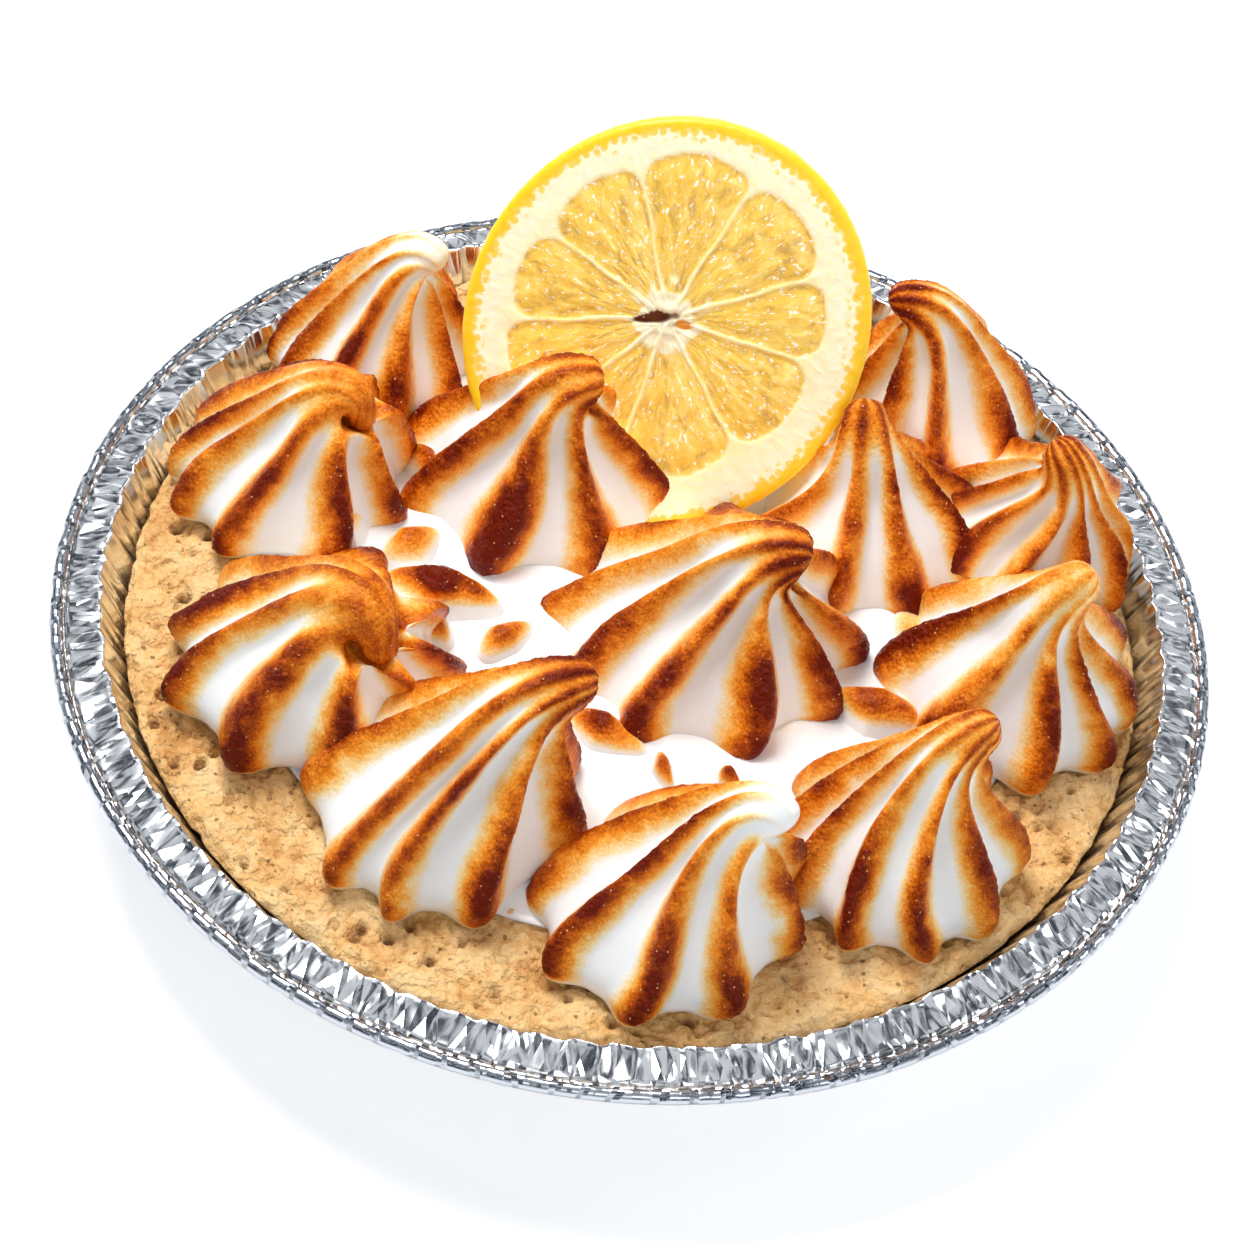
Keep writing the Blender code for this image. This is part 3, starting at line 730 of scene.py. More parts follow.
@dataclass
class FoilTin:
    """The foil tin: base, pleated wall, crimped flange, groove and rolled bead. Millimetres."""

    rim_radius: float = 101.5
    bead_radius: float = 1.2
    flange_inner: float = 93.2
    base_radius: float = 78.3
    base_height: float = 0.2
    fillet: float = 2.0
    fillet_reach: float = 2.2
    sheet: float = 0.13
    crimps: int = 88
    steps_per_crimp: int = 10
    flange_crease: float = 0.66
    flange_pleat: float = 0.22
    wall_pleat: float = 0.34
    wall_crease: float = 0.16
    wall_swell: float = 0.12
    nick_depth: float = 0.28
    quick_fall: float = 0.28
    seed: int = 5

    def profile(self) -> Array:
        """List the sheet's outline from the middle of the base to the curl of the bead.

        Returns:
            Rows of (radius, height).
        """
        rim = RIM_HEIGHT_MM
        flat = self.base_radius - self.fillet
        base = [(r, self.base_height) for r in (0.0, 30.0, 60.0, flat)]
        fillet = [(flat + self.fillet_reach * math.sin(a), self.fillet_reach - self.fillet * math.cos(a))
                  for a in np.radians((30, 55, 80))]
        wall = line(fillet[-1], (self.flange_inner - 1.5, rim + 1.2), 15)
        turn = [(self.flange_inner - 0.5 - 0.32 * math.cos(a), rim + 2.5 + 0.4 * math.sin(a))
                for a in np.radians((10, 40, 70, 100))]
        bead_middle = self.rim_radius - self.bead_radius
        flange = line(turn[-1], (bead_middle - 1.75, rim + 1.0), 8)
        groove = [(bead_middle - 1.35, rim + 0.45), (bead_middle - 1.12, rim + 0.55)]
        bead = [(bead_middle + self.bead_radius * math.cos(a), rim + self.bead_radius * math.sin(a))
                for a in np.radians(np.arange(138, -151, -24))]
        return np.array(base + fillet + wall + turn + flange + groove + bead)

    def creases(self, angle: Array, per_crimp: int, seed: int) -> Array:
        """Return sharp uneven folds round the tin, from -1 to 1.

        Args:
            angle: where round the tin.
            per_crimp: folds to every crimp.
            seed: picks one of many sets of folds.

        Returns:
            The folds' height.
        """
        rng = np.random.default_rng(seed)
        count = self.crimps * per_crimp
        spots = (np.arange(count) + rng.uniform(-0.35, 0.35, count)) * 2.0 * math.pi / count
        heights = rng.uniform(-1.0, 1.0, count)
        return np.interp(angle % (2.0 * math.pi), spots, heights, period=2.0 * math.pi)

    def pleats(self, angle: Array) -> Array:
        """Return the main folds, each a slow rise and a quick fall, from -1 to 1."""
        rng = np.random.default_rng(self.seed)
        marks = (np.arange(self.crimps) + rng.uniform(-0.22, 0.22, self.crimps)) * 2 * math.pi / self.crimps
        round_tin = angle % (2.0 * math.pi)
        turns = np.interp(round_tin, marks, np.arange(self.crimps), period=2 * math.pi)
        turns = np.where((round_tin >= marks[-1]) | (round_tin < marks[0]), 0.5, turns)
        share = turns % 1.0
        rise = 1.0 - self.quick_fall
        return np.where(share < rise, -1.0 + 2.0 * share / rise, 1.0 - 2.0 * (share - rise) / self.quick_fall)

    def build(self, material: Material) -> None:
        """Make the tin.

        Args:
            material: the foil.
        """
        obj = spun("tin_foil", self.profile(), self.crimps * self.steps_per_crimp)
        points = points_of(obj)
        radius = off_axis(points)
        angle = np.arctan2(points[:, 1], points[:, 0])
        height = points[:, 2]
        fold = self.pleats(angle)
        inner = self.creases(angle, 3, self.seed + 1)
        outer = self.creases(angle, 4, self.seed + 2)
        groove = self.rim_radius - 2.0 * self.bead_radius - 0.3
        flange_from = self.flange_inner - 0.4
        on_flange = (radius > flange_from) & (radius < groove) & (height > RIM_HEIGHT_MM + 0.9)
        across = np.clip((radius - self.flange_inner) / (groove - self.flange_inner), 0.0, 1.0)
        sway = np.sin(math.pi * np.clip(across * 0.9 + 0.1, 0.0, 1.0))
        creased = self.flange_crease * ((1 - across) * inner + across * outer) + self.flange_pleat * fold
        height = height + np.where(on_flange, sway * creased, 0.0)
        on_wall = (radius <= flange_from) & (height > 1.5)
        climb = ease(3.0, 24.0, height)
        wave = self.wall_pleat * fold + self.wall_crease * inner
        radius = radius + np.where(on_wall, climb * wave + self.wall_swell * climb, 0.0)
        on_bead = radius > groove + 0.25
        nick = self.nick_depth * np.clip(np.abs(self.creases(angle, 4, self.seed + 3)) * 1.6 - 0.8, 0.0, 1.0)
        radius = radius - np.where(on_bead, nick, 0.0)
        height = height - np.where(on_bead & (height > RIM_HEIGHT_MM), nick, 0.0)
        radius = np.minimum(radius, self.rim_radius - self.sheet / 2)
        move_points(obj, np.stack([radius * np.cos(angle), radius * np.sin(angle), height], axis=-1))
        apply(obj, "SOLIDIFY", thickness=self.sheet * MM, offset=0.0)
        settle(obj, material, "foil_pan")


# The crust


@dataclass
class Crust:
    """The baked crust, lumpy and pierced, which fills the tin. Millimetres."""

    radius: float = 89.7
    detail_from: float = 62.0
    edge_round: float = 2.6
    wall_foot: float = 76.9
    wall_slope: float = 0.4837
    steps: int = 760
    holes: int = 110
    coarse_depth: float = 1.25
    fine_depth: float = 1.9
    crack_depth: float = 0.8
    crack_width: float = 0.16
    hole_depth: float = 2.2
    swell: float = 1.0
    seed: int = 21

    def profile(self) -> Array:
        """List the outline from the middle of the top to the middle of the foot."""
        top, turn = CRUST_TOP_MM, self.edge_round
        hidden = [(r, top) for r in (0.0, 30.0, self.detail_from - 6.0)]
        band = [(r, top) for r in np.arange(self.detail_from, self.radius - turn, 0.55)]
        edge = [(self.radius - turn + 2.4 * math.sin(a), top - turn + turn * math.cos(a))
                for a in np.radians((12, 28, 44, 60, 76, 92, 108))]
        side = [(87.4, 22.0), (85.0, 16.5), (81.2, 9.0), (77.4, 2.2), (76.0, 0.9), (0.0, 0.9)]
        return np.array(hidden + band + edge + side)

    def pierced(self, points: Array) -> Array:
        """Return how deep in a docking hole each place is, from 0 to 1."""
        rng = np.random.default_rng(self.seed)
        depth = np.zeros(len(points))
        for _ in range(self.holes):
            turn = rng.uniform(0.0, 2.0 * math.pi)
            reach = self.radius - rng.uniform(3.0, 18.0)
            wide = rng.uniform(0.6, 1.4)
            off = np.hypot(points[:, 0] - reach * math.cos(turn), points[:, 1] - reach * math.sin(turn))
            depth = np.maximum(depth, (1.0 - ease(0.35 * wide, 1.25 * wide, off)) * wide / 1.25)
        return depth

    def build(self, material: Material) -> None:
        """Make the crust.

        Args:
            material: the baked crust.
        """
        obj = spun("crust_shell", self.profile(), self.steps)
        points = points_of(obj)
        radius = off_axis(points)
        shown = ease(self.detail_from - 2.0, self.detail_from + 4.0, radius) * (points[:, 2] > 20.0)
        coarse = lumps(points, (6.5, 3.2), self.seed)
        fine = lumps(points, (2.0, 1.3), self.seed + 5)
        hollow = self.pierced(points) * (points[:, 2] > CRUST_TOP_MM - 1.0)
        crown = np.clip(0.5 + coarse, 0.0, 1.0)
        crack = 1.0 - ease(0.0, self.crack_width, np.abs(lumps(points, (3.4, 1.9), self.seed + 7)))
        drop = self.coarse_depth * (1.0 - crown) + self.fine_depth * (0.5 - 0.5 * fine)
        drop += self.crack_depth * crack + self.hole_depth * hollow - self.swell
        points[:, 2] -= shown * drop
        side = ease(self.radius - 3.4, self.radius - 0.8, radius) * (points[:, 2] > 18.0)
        bulge = lumps(points * (1.0, 1.0, 0.7), (4.2, 2.1), self.seed + 9)
        pull = np.clip(side * (0.75 - 0.95 * bulge), -0.1, 2.0)
        points[:, :2] *= (1.0 - pull / np.maximum(radius, 1.0))[:, None]
        room = self.wall_foot + self.wall_slope * points[:, 2]
        points[:, :2] *= np.minimum(1.0, room / np.maximum(off_axis(points), 1.0))[:, None]
        move_points(obj, points)
        # Marks the docking holes, which the finish paints dark as painted shade.
        mark(obj, "hollow", np.clip(hollow * 1.1 - 0.15, 0.0, 0.9))
        # Marks the crowns of the lumps and the cracks, which the finish paints paler and darker as painted
        # light and shade.
        mark(obj, "crown", crown - 0.5 * crack * shown)
        settle(obj, material, "crust")


# The meringue


@dataclass(frozen=True)
class Swirl:
    """One piped swirl: plan sizes in millimetres from the middle, heights above the crust.

    Each ridge is the angle where it meets the crust and how deeply it is toasted.
    """

    name: str
    base: Pair
    radius: float
    tip: Place
    heading: float
    slope: float
    twist: float
    lean: float
    ridges: tuple[Pair, ...]
    tip_toast: float = 0.75
    hook: float = 0.0
    climb: float = 0.0


SWIRLS = (
    Swirl("back_left", (-55, 51), 20.5, (-43, 54, 26), -20, -35, -5, 0.15,
          ((180, 0.9), (215, 0.9), (250, 1.0), (290, 0.8), (330, 0.95)), 0.1),
    Swirl("left", (-65, 20), 22.5, (-51.5, 19, 18), -52, -72, -20, 0.24,
          ((150, 0.85), (185, 0.9), (212, 0.8), (246, 0.95), (300, 0.95)), 0.56, 16.0, 15.0),
    Swirl("front_left", (-54.0, -23.5), 26.0, (-40.8, -31.5, 16), -62, -74, -40, 0.20,
          ((137, 0.75), (168, 1.0), (205, 1.05), (250, 1.15), (295, 1.1), (370, 0.9), (400, 0.95)), 0.58,
          18.0, 17.0),
    Swirl("front", (-27.6, -50.1), 24.6, (-5, -40, 30), 27, -19, -6, 0.11,
          ((130, 0.75), (172, 0.85), (228, 1.0), (257, 0.95), (293, 1.1), (346, 1.05)), 0.75),
    Swirl("front_mid", (10.4, -65.0), 22.8, (29.5, -63, 28), -25, -40, -55, 0.38,
          ((115, 0.6), (178, 0.9), (220, 1.0), (264, 0.95), (308, 1.0), (358, 1.0)), 0.05),
    Swirl("front_right", (49, -45.5), 22.0, (61.2, -37.5, 32), 26, 19, -30, 0.13,
          ((150, 0.6), (177, 0.95), (250, 0.85), (289, 1.0), (322, 0.95), (368, 0.75)), 0.6),
    Swirl("right", (65.5, -5), 23.6, (75.5, -3.5, 34), 28, 34, 3, 0.12,
          ((130, 0.6), (180, 1.1), (237, 1.05), (285, 0.95), (321, 1.0), (352, 1.0)), 0.35),
    Swirl("right_back", (69, 32), 21.5, (67.5, 29, 31), 140, 28, 6, 0.12,
          ((152, 0.7), (178, 0.9), (220, 1.0), (290, 0.95), (316, 0.9), (342, 0.8)), 0.6),
    Swirl("back_right", (49, 57), 20.5, (36.5, 57, 31), 188, -14, -2, 0.05,
          ((150, 0.9), (190, 1.0), (275, 1.1), (328, 0.95), (367, 0.9)), 0.75),
    Swirl("mid_right", (38.8, 27), 22.8, (34, 33, 30), 103, 38, 18, 0.05,
          ((198, 0.7), (254, 0.95), (297, 1.15), (342, 1.0), (373, 0.9)), 0.6),
    Swirl("middle", (10.8, -3.3), 28.6, (28, -4.3, 28), 4, -15, -18, 0.34,
          ((141, 0.6), (177, 0.75), (217, 0.85), (252, 1.1), (293, 1.0), (330, 1.15), (359, 1.1)), 0.75),
    Swirl("mid_left", (-21.2, 28.3), 26.2, (-12, 28.7, 29), 17, -12, -1, 0.30,
          ((161, 0.95), (208, 1.1), (254, 1.15), (301, 1.0), (351, 1.05)), 0.65),
    Swirl("behind_left", (-19, 67), 22.0, (-16, 62, 25), 215, 10, 10, 0.15, ((20, 0.9),), 0.6),
    Swirl("behind_right", (17, 68), 21.5, (19, 63, 25), 160, 10, 10, 0.15, ((0, 0.9),), 0.6),
)


@dataclass(frozen=True)
class Leaf:
    """A low ridge that lies on the bed between the swirls. Millimetres, from the pie's middle."""

    name: str
    start: Pair
    end: Pair
    width: float
    height: float
    toast: float


LEAVES = (
    Leaf("hook_foot", (-55.5, 24), (-54, 15), 3.0, 8.0, 0.85),
    Leaf("cone_left", (-58.5, 6), (-50, 13.5), 8.0, 9.0, 0.40),
    Leaf("cone_inner", (-46, 2.5), (-35.5, 11), 6.5, 7.0, 0.55),
    Leaf("leaf_upper", (-45, -1.5), (-22.5, -5), 7.0, 8.0, 1.05),
    Leaf("leaf_lower", (-42, -7.5), (-30.5, -15), 6.0, 7.0, 0.75),
    Leaf("point_middle", (-25, -17), (-17.5, -6), 5.0, 6.0, 0.70),
    Leaf("leaf_front", (-10, -26.5), (6, -31.5), 6.0, 6.5, 0.80),
    Leaf("tip_front_a", (7, -31), (11, -39), 2.6, 5.4, 0.55),
    Leaf("tip_front_b", (18.5, -32), (22, -38), 2.8, 5.4, 0.60),
    Leaf("leaf_right", (35, -12.5), (53.5, -18), 7.0, 7.0, 0.80),
    Leaf("leaf_back_a", (-44.5, 29.5), (-38, 20), 4.0, 8.0, 0.65),
    Leaf("leaf_back_b", (-62, 37), (-45, 42), 7.0, 9.0, 0.95),
    Leaf("leaf_slice", (4.5, 28), (13.5, 18.5), 4.0, 8.0, 1.0),
    Leaf("gap_right", (45, 8), (53, -1), 6.0, 6.0, 0.30),
)

SWIRL_PROFILE = ((0.0, 0.93), (0.06, 1.0), (0.20, 0.91), (0.36, 0.70), (0.52, 0.48),
                 (0.68, 0.31), (0.86, 0.20), (1.0, 0.135))


@dataclass
class Meringue:
    """The bed of meringue with its piped swirls and the low leaves between. Millimetres."""

    bed_radius: float = 70.0
    bed_height: float = 3.2
    ridge_depth: float = 0.23
    ridge_sharpness: float = 1.7
    reach_limit: float = 89.3
    reach_ease: float = 4.0
    foot: float = CRUST_TOP_MM + 0.1
    underside: float = 0.10
    widest_gap: float = 60.0
    hidden_spacing: float = 46.0
    hidden_toast: float = 0.9
    smooth_from: float = 0.45
    hook_smooth_from: float = 0.32
    hook_thinning: float = 0.28
    nose: float = 0.07
    unevenness: float = 0.06
    band_toast: float = 0.56
    core_toast: float = 0.50
    mottle: float = 0.24
    speckle: float = 0.14
    beak_stripes: float = 0.5
    hook_stripes: float = 0.15
    leaf_spread: float = 1.35
    leaf_lift: float = 1.0
    bed_rim: float = 0.32
    bed_lumps: float = 2.0
    bed_swell: float = 1.3
    bed_toast: float = 0.12
    fillet_height: float = 1.2
    fillet_width: float = 1.8
    blister_height: float = 0.8
    blister_size: float = 1.0
    seed: int = 40

    def all_ridges(self, swirl: Swirl) -> Array:
        """List every ridge's angle in radians and its toast, with the hidden side filled in.

        Args:
            swirl: the swirl.

        Returns:
            Rows of (angle, toast), in order of angle.
        """
        known = sorted((angle % 360, toast) for angle, toast in swirl.ridges)
        rows = []
        for index, (start, toast) in enumerate(known):
            end = known[index + 1][0] if index + 1 < len(known) else known[0][0] + 360
            parts = round((end - start) / self.hidden_spacing) if end - start > self.widest_gap else 1
            rows += [(math.radians(start + (end - start) * part / parts),
                      self.hidden_toast if part else toast) for part in range(parts)]
        return np.array(rows)

    def ridge_wave(self, angle: Array,
                   ridges: Array) -> tuple[Array, Array, Array]:
        """Return how near each angle is to a ridge's crest, that ridge's toast and its number."""
        places = np.concatenate([ridges[-1:, 0] - 2 * math.pi, ridges[:, 0], ridges[:1, 0] + 2 * math.pi])
        toasts = np.concatenate([ridges[-1:, 1], ridges[:, 1], ridges[:1, 1]])
        turned = (angle - ridges[0, 0]) % (2 * math.pi) + ridges[0, 0]
        index = np.clip(np.searchsorted(places, turned, side="right") - 1, 0, len(places) - 2)
        share = (turned - places[index]) / (places[index + 1] - places[index])
        wave = 0.5 + 0.5 * np.cos(2 * math.pi * share)
        nearest = np.where(share < 0.5, index, index + 1)
        return wave, toasts[nearest], (nearest - 1) % len(ridges)

    def spine(self, swirl: Swirl, run: Array) -> tuple[Array, Array]:
        """Return the swirl's middle line and its direction.

        Args:
            swirl: the swirl.
            run: the share of the way from foot to beak.

        Returns:
            Places and unit directions.
        """
        rise = swirl.tip[2]
        base = np.array([*swirl.base, 0.0])
        tip = np.array(swirl.tip, dtype=float)
        heading, slope = math.radians(swirl.heading), math.radians(swirl.slope)
        beak = np.array([math.cos(slope) * math.cos(heading), math.cos(slope) * math.sin(heading),
                         math.sin(slope)])
        climb = base + (tip - base) * (swirl.lean, swirl.lean, 0.0)
        climb[2] = swirl.climb or 0.55 * rise
        turn = tip - (swirl.hook or 0.38 * rise) * beak
        t = run[:, None]
        left = 1.0 - t
        place = left ** 3 * base + 3 * left ** 2 * t * climb + 3 * left * t ** 2 * turn + t ** 3 * tip
        way = 3 * left ** 2 * (climb - base) + 6 * left * t * (turn - climb) + 3 * t ** 2 * (tip - turn)
        return place, way / np.linalg.norm(way, axis=1)[:, None]

    def placed(self, swirl: Swirl, run: Array, width: Array, turned: Array) -> Array:
        """Put each vertex round the swirl's middle line.

        Args:
            swirl: the swirl.
            run: each vertex's share of the way from foot to beak.
            width: how far it stands from the middle line.
            turned: its angle round that line.

        Returns:
            Places in millimetres, above the crust.
        """
        place, way = self.spine(swirl, run)
        lift = ease(0.35, 0.8, run)[:, None]
        up = (1.0 - lift) * np.array([0.0, 0.0, 1.0]) + lift * way
        up /= np.linalg.norm(up, axis=1)[:, None]
        x, y = width * np.cos(turned), width * np.sin(turned)
        ux, uy, uz = up.T
        grip = 1.0 / (1.0 + uz)
        return place + np.stack([
            x * (1 - ux * ux * grip) - y * ux * uy * grip,
            -x * ux * uy * grip + y * (1 - uy * uy * grip),
            -x * ux - y * uy,
        ], axis=-1)

    def kept_inside(self, points: Array) -> Array:
        """Ease places back so that nothing reaches past the crust's edge."""
        radius = off_axis(points)
        start = self.reach_limit - self.reach_ease
        over = np.maximum(radius - start, 0.0)
        eased = np.where(over > 0, start + self.reach_ease * np.tanh(over / self.reach_ease), radius)
        points[:, :2] *= (eased / np.maximum(radius, 1e-6))[:, None]
        return points

    def shape(self, swirl: Swirl, share: Array, angle: Array, seed: int) -> tuple[Array, Array]:
        """Work out where every vertex of a swirl goes, and how toasted it is.

        Args:
            swirl: the swirl.
            share: each vertex's share of the way from the lower pole to the upper.
            angle: each vertex's angle round the swirl.
            seed: picks its unevenness.

        Returns:
            Places in millimetres, and toast from 0 to 1.
        """
        run = np.clip((share - self.underside) / (1.0 - self.underside), 0.0, 1.0)
        ridges = self.all_ridges(swirl)
        rng = np.random.default_rng(seed)
        phase = rng.uniform(0.0, 2 * math.pi, 3)
        sway = 0.07 * np.sin(2.0 * angle + 5.0 * run + phase[0])
        sway += 0.04 * np.sin(5.0 * angle - 7.0 * run + phase[1])
        crest, toast, ridge = self.ridge_wave(angle + sway * ease(0.0, 0.2, run), ridges)
        smooth_from = self.hook_smooth_from if swirl.hook else self.smooth_from
        depth = self.ridge_depth * (0.75 + 0.9 * ease(0.0, 0.5, run))
        depth *= 1.0 - 0.90 * ease(smooth_from, smooth_from + 0.45, run)
        width = swirl.radius * smooth_curve(run, SWIRL_PROFILE)
        width *= 1.0 - depth * (1.0 - crest ** self.ridge_sharpness)
        nose = np.clip((run - 1.0 + self.nose) / self.nose, 0.0, 1.0)
        width *= np.sqrt(np.maximum(1.0 - nose ** 2, 0.0))
        if swirl.hook:
            width *= 1.0 - self.hook_thinning * ease(0.55, 0.90, run)
        width *= np.clip(share / self.underside, 0.0, 1.0)
        points = self.placed(swirl, run, width, angle + math.radians(swirl.twist) * run ** 1.2)
        broad = self.unevenness * lumps(points, (14.0, 7.0), seed) * ease(0.0, 0.3, run)
        points[:, :2] += (points[:, :2] - np.array(swirl.base)) * broad[:, None]
        points[:, 2] = np.maximum(points[:, 2], 0.0) + self.foot
        points = self.kept_inside(points)
        mottle = lumps(points, (5.0, 2.5), seed + 3)
        fine = lumps(points, (1.4, 0.8), seed + 4)
        patch = lumps(points, (10.0, 5.0), seed + 5)
        peak = rng.uniform(0.10, 0.32, len(ridges))[ridge]
        spread = rng.uniform(0.15, 0.34, len(ridges))[ridge]
        core = np.exp(-((run - peak) / spread) ** 2)
        heat = toast * ease(0.0, 0.05, run) * (1.0 - 0.15 * ease(0.5, 0.85, run))
        band = self.band_toast * crest ** (1.5 - 0.8 * patch) * heat
        band += self.core_toast * crest ** 2.6 * core * heat * np.clip(0.75 + 0.9 * patch, 0.0, 1.4)
        band += crest ** 1.5 * heat * (self.mottle * mottle + self.speckle * fine)
        beak = ease(0.48, 0.74, run) if swirl.hook else ease(0.62, 0.90, run)
        stripes = self.hook_stripes if swirl.hook else self.beak_stripes
        tip_toast = swirl.tip_toast * (1.0 - 0.5 * stripes + stripes * crest + 0.35 * mottle)
        return points, np.clip(band * (1.0 - beak) + beak * tip_toast, 0.0, 1.0)

    def blister(self, obj: Piece, toast: Array) -> None:
        """Raise the small blisters of the toasted skin as real relief.

        Args:
            obj: the piece.
            toast: how toasted each vertex is.
        """
        group = obj.vertex_groups.new(name="toasted")
        levels = np.round(ease(0.3, 0.85, toast) * 10).astype(int)
        for level in range(1, 11):
            group.add([int(i) for i in np.flatnonzero(levels == level)], level / 10, "REPLACE")
        texture = bpy.data.textures.get("blisters") or bpy.data.textures.new("blisters", "CLOUDS")
        texture.noise_scale = self.blister_size * MM
        texture.noise_depth = 2
        apply(obj, "DISPLACE", texture=texture, texture_coords="LOCAL",
              strength=self.blister_height * MM, mid_level=0.5, vertex_group="toasted")
        obj.vertex_groups.clear()

    def finish(self, obj: Piece, points: Array, toast: Array,
               material: Material) -> None:
        """Shape a ball into a piece of meringue, blister it and dress it.

        Args:
            obj: the ball.
            points: where its vertices go.
            toast: how toasted each is.
            material: its finish.
        """
        move_points(obj, points)
        mark(obj, "toast", toast)
        self.blister(obj, toast)
        settle(obj, material, "meringue")

    def build_leaf(self, leaf: Leaf, material: Material, seed: int) -> None:
        """Make one low ridge between the swirls.

        Args:
            leaf: its sizes.
            material: its finish.
            seed: picks its unevenness.
        """
        obj, share, angle = ball_grid(leaf.name, 160, 80)
        start, end = np.array(leaf.start), np.array(leaf.end)
        run = end - start
        along = 0.5 - 0.5 * np.cos(math.pi * share)
        size = np.sin(math.pi * share) ** 0.45 * np.interp(along, (0.0, 0.45, 1.0), (0.80, 1.0, 0.66))
        side = np.cos(angle)
        upper = np.sin(angle) > 0
        sway = 0.8 * np.sin(3.0 * along + seed)
        across = np.array([-run[1], run[0]]) / np.linalg.norm(run)
        aside = (side * leaf.width * self.leaf_spread + sway) * size
        flat = start + run * along[:, None] + aside[:, None] * across
        bell = np.where(upper, np.cos(0.5 * math.pi * side) ** 2, 0.0)
        height = (self.leaf_lift + leaf.height) * bell ** 0.8 * size
        points = np.stack([flat[:, 0], flat[:, 1], height], axis=-1)
        rough = lumps(points, (5.0, 2.5), seed)
        points[:, 2] += np.where(upper, 0.5 * rough * size * bell, 0.0) + self.foot
        toast = 1.05 * leaf.toast * ease(0.40, 0.98, bell * size)
        toast *= (0.70 + 0.30 * ease(0.05, 0.5, along)) * (1.0 + 0.45 * rough)
        self.finish(obj, points, np.clip(toast, 0.0, 1.0), material)

    def build_bed(self, material: Material) -> None:
        """Make the bed, which rises in a soft fillet where it meets each swirl."""
        obj, share, angle = ball_grid("meringue_bed", 360, 240)
        rim = self.bed_rim
        reach = np.where(share < rim, share / rim, 1.0 - ((share - rim) / (1.0 - rim)) ** 1.05)
        radius = self.bed_radius * reach * (1.0 - 0.02 * ease(rim - 0.02, rim + 0.02, share))
        x, y = radius * np.cos(angle), radius * np.sin(angle)
        dome = self.bed_height * np.sqrt(np.maximum(1.0 - (radius / self.bed_radius) ** 4, 0.0))
        height = dome + self.bed_lumps * lumps(flat_places(x, y), (12.0, 6.0), self.seed) * reach
        for swirl in SWIRLS:
            off_x, off_y = x - swirl.base[0], y - swirl.base[1]
            away = np.hypot(off_x, off_y)
            crest, _, _ = self.ridge_wave(np.arctan2(off_y, off_x), self.all_ridges(swirl))
            valley = self.ridge_depth * 0.9 * (1.0 - crest ** self.ridge_sharpness)
            edge = swirl.radius * 0.86 * (1.0 - valley)
            fillet = self.fillet_height * np.exp(-np.maximum(away - edge, 0.0) / self.fillet_width)
            height += fillet * (away < edge + 8.0)
        height = np.minimum(height, self.bed_height + self.bed_swell) * ease(rim, rim + 0.08, share)
        points = self.kept_inside(np.stack([x, y, np.where(share < rim, 0.0, height) + self.foot], axis=-1))
        move_points(obj, points)
        glow = self.bed_toast * lumps(points, (7.0, 3.0), self.seed + 8)
        mark(obj, "toast", np.clip(glow, 0.0, self.bed_toast) * ease(0.4, 0.5, share))
        settle(obj, material, "meringue")

    def build(self, material: Material) -> None:
        """Make the bed, the swirls and the leaves, all of toasted meringue."""
        self.build_bed(material)
        for order, swirl in enumerate(SWIRLS):
            obj, share, angle = ball_grid(f"piped_{swirl.name}", 320, 112)
            points, toast = self.shape(swirl, share, angle, self.seed + order)
            self.finish(obj, points, toast, material)
        for order, leaf in enumerate(LEAVES):
            self.build_leaf(leaf, material, self.seed + 50 + order)


# The lemon slice


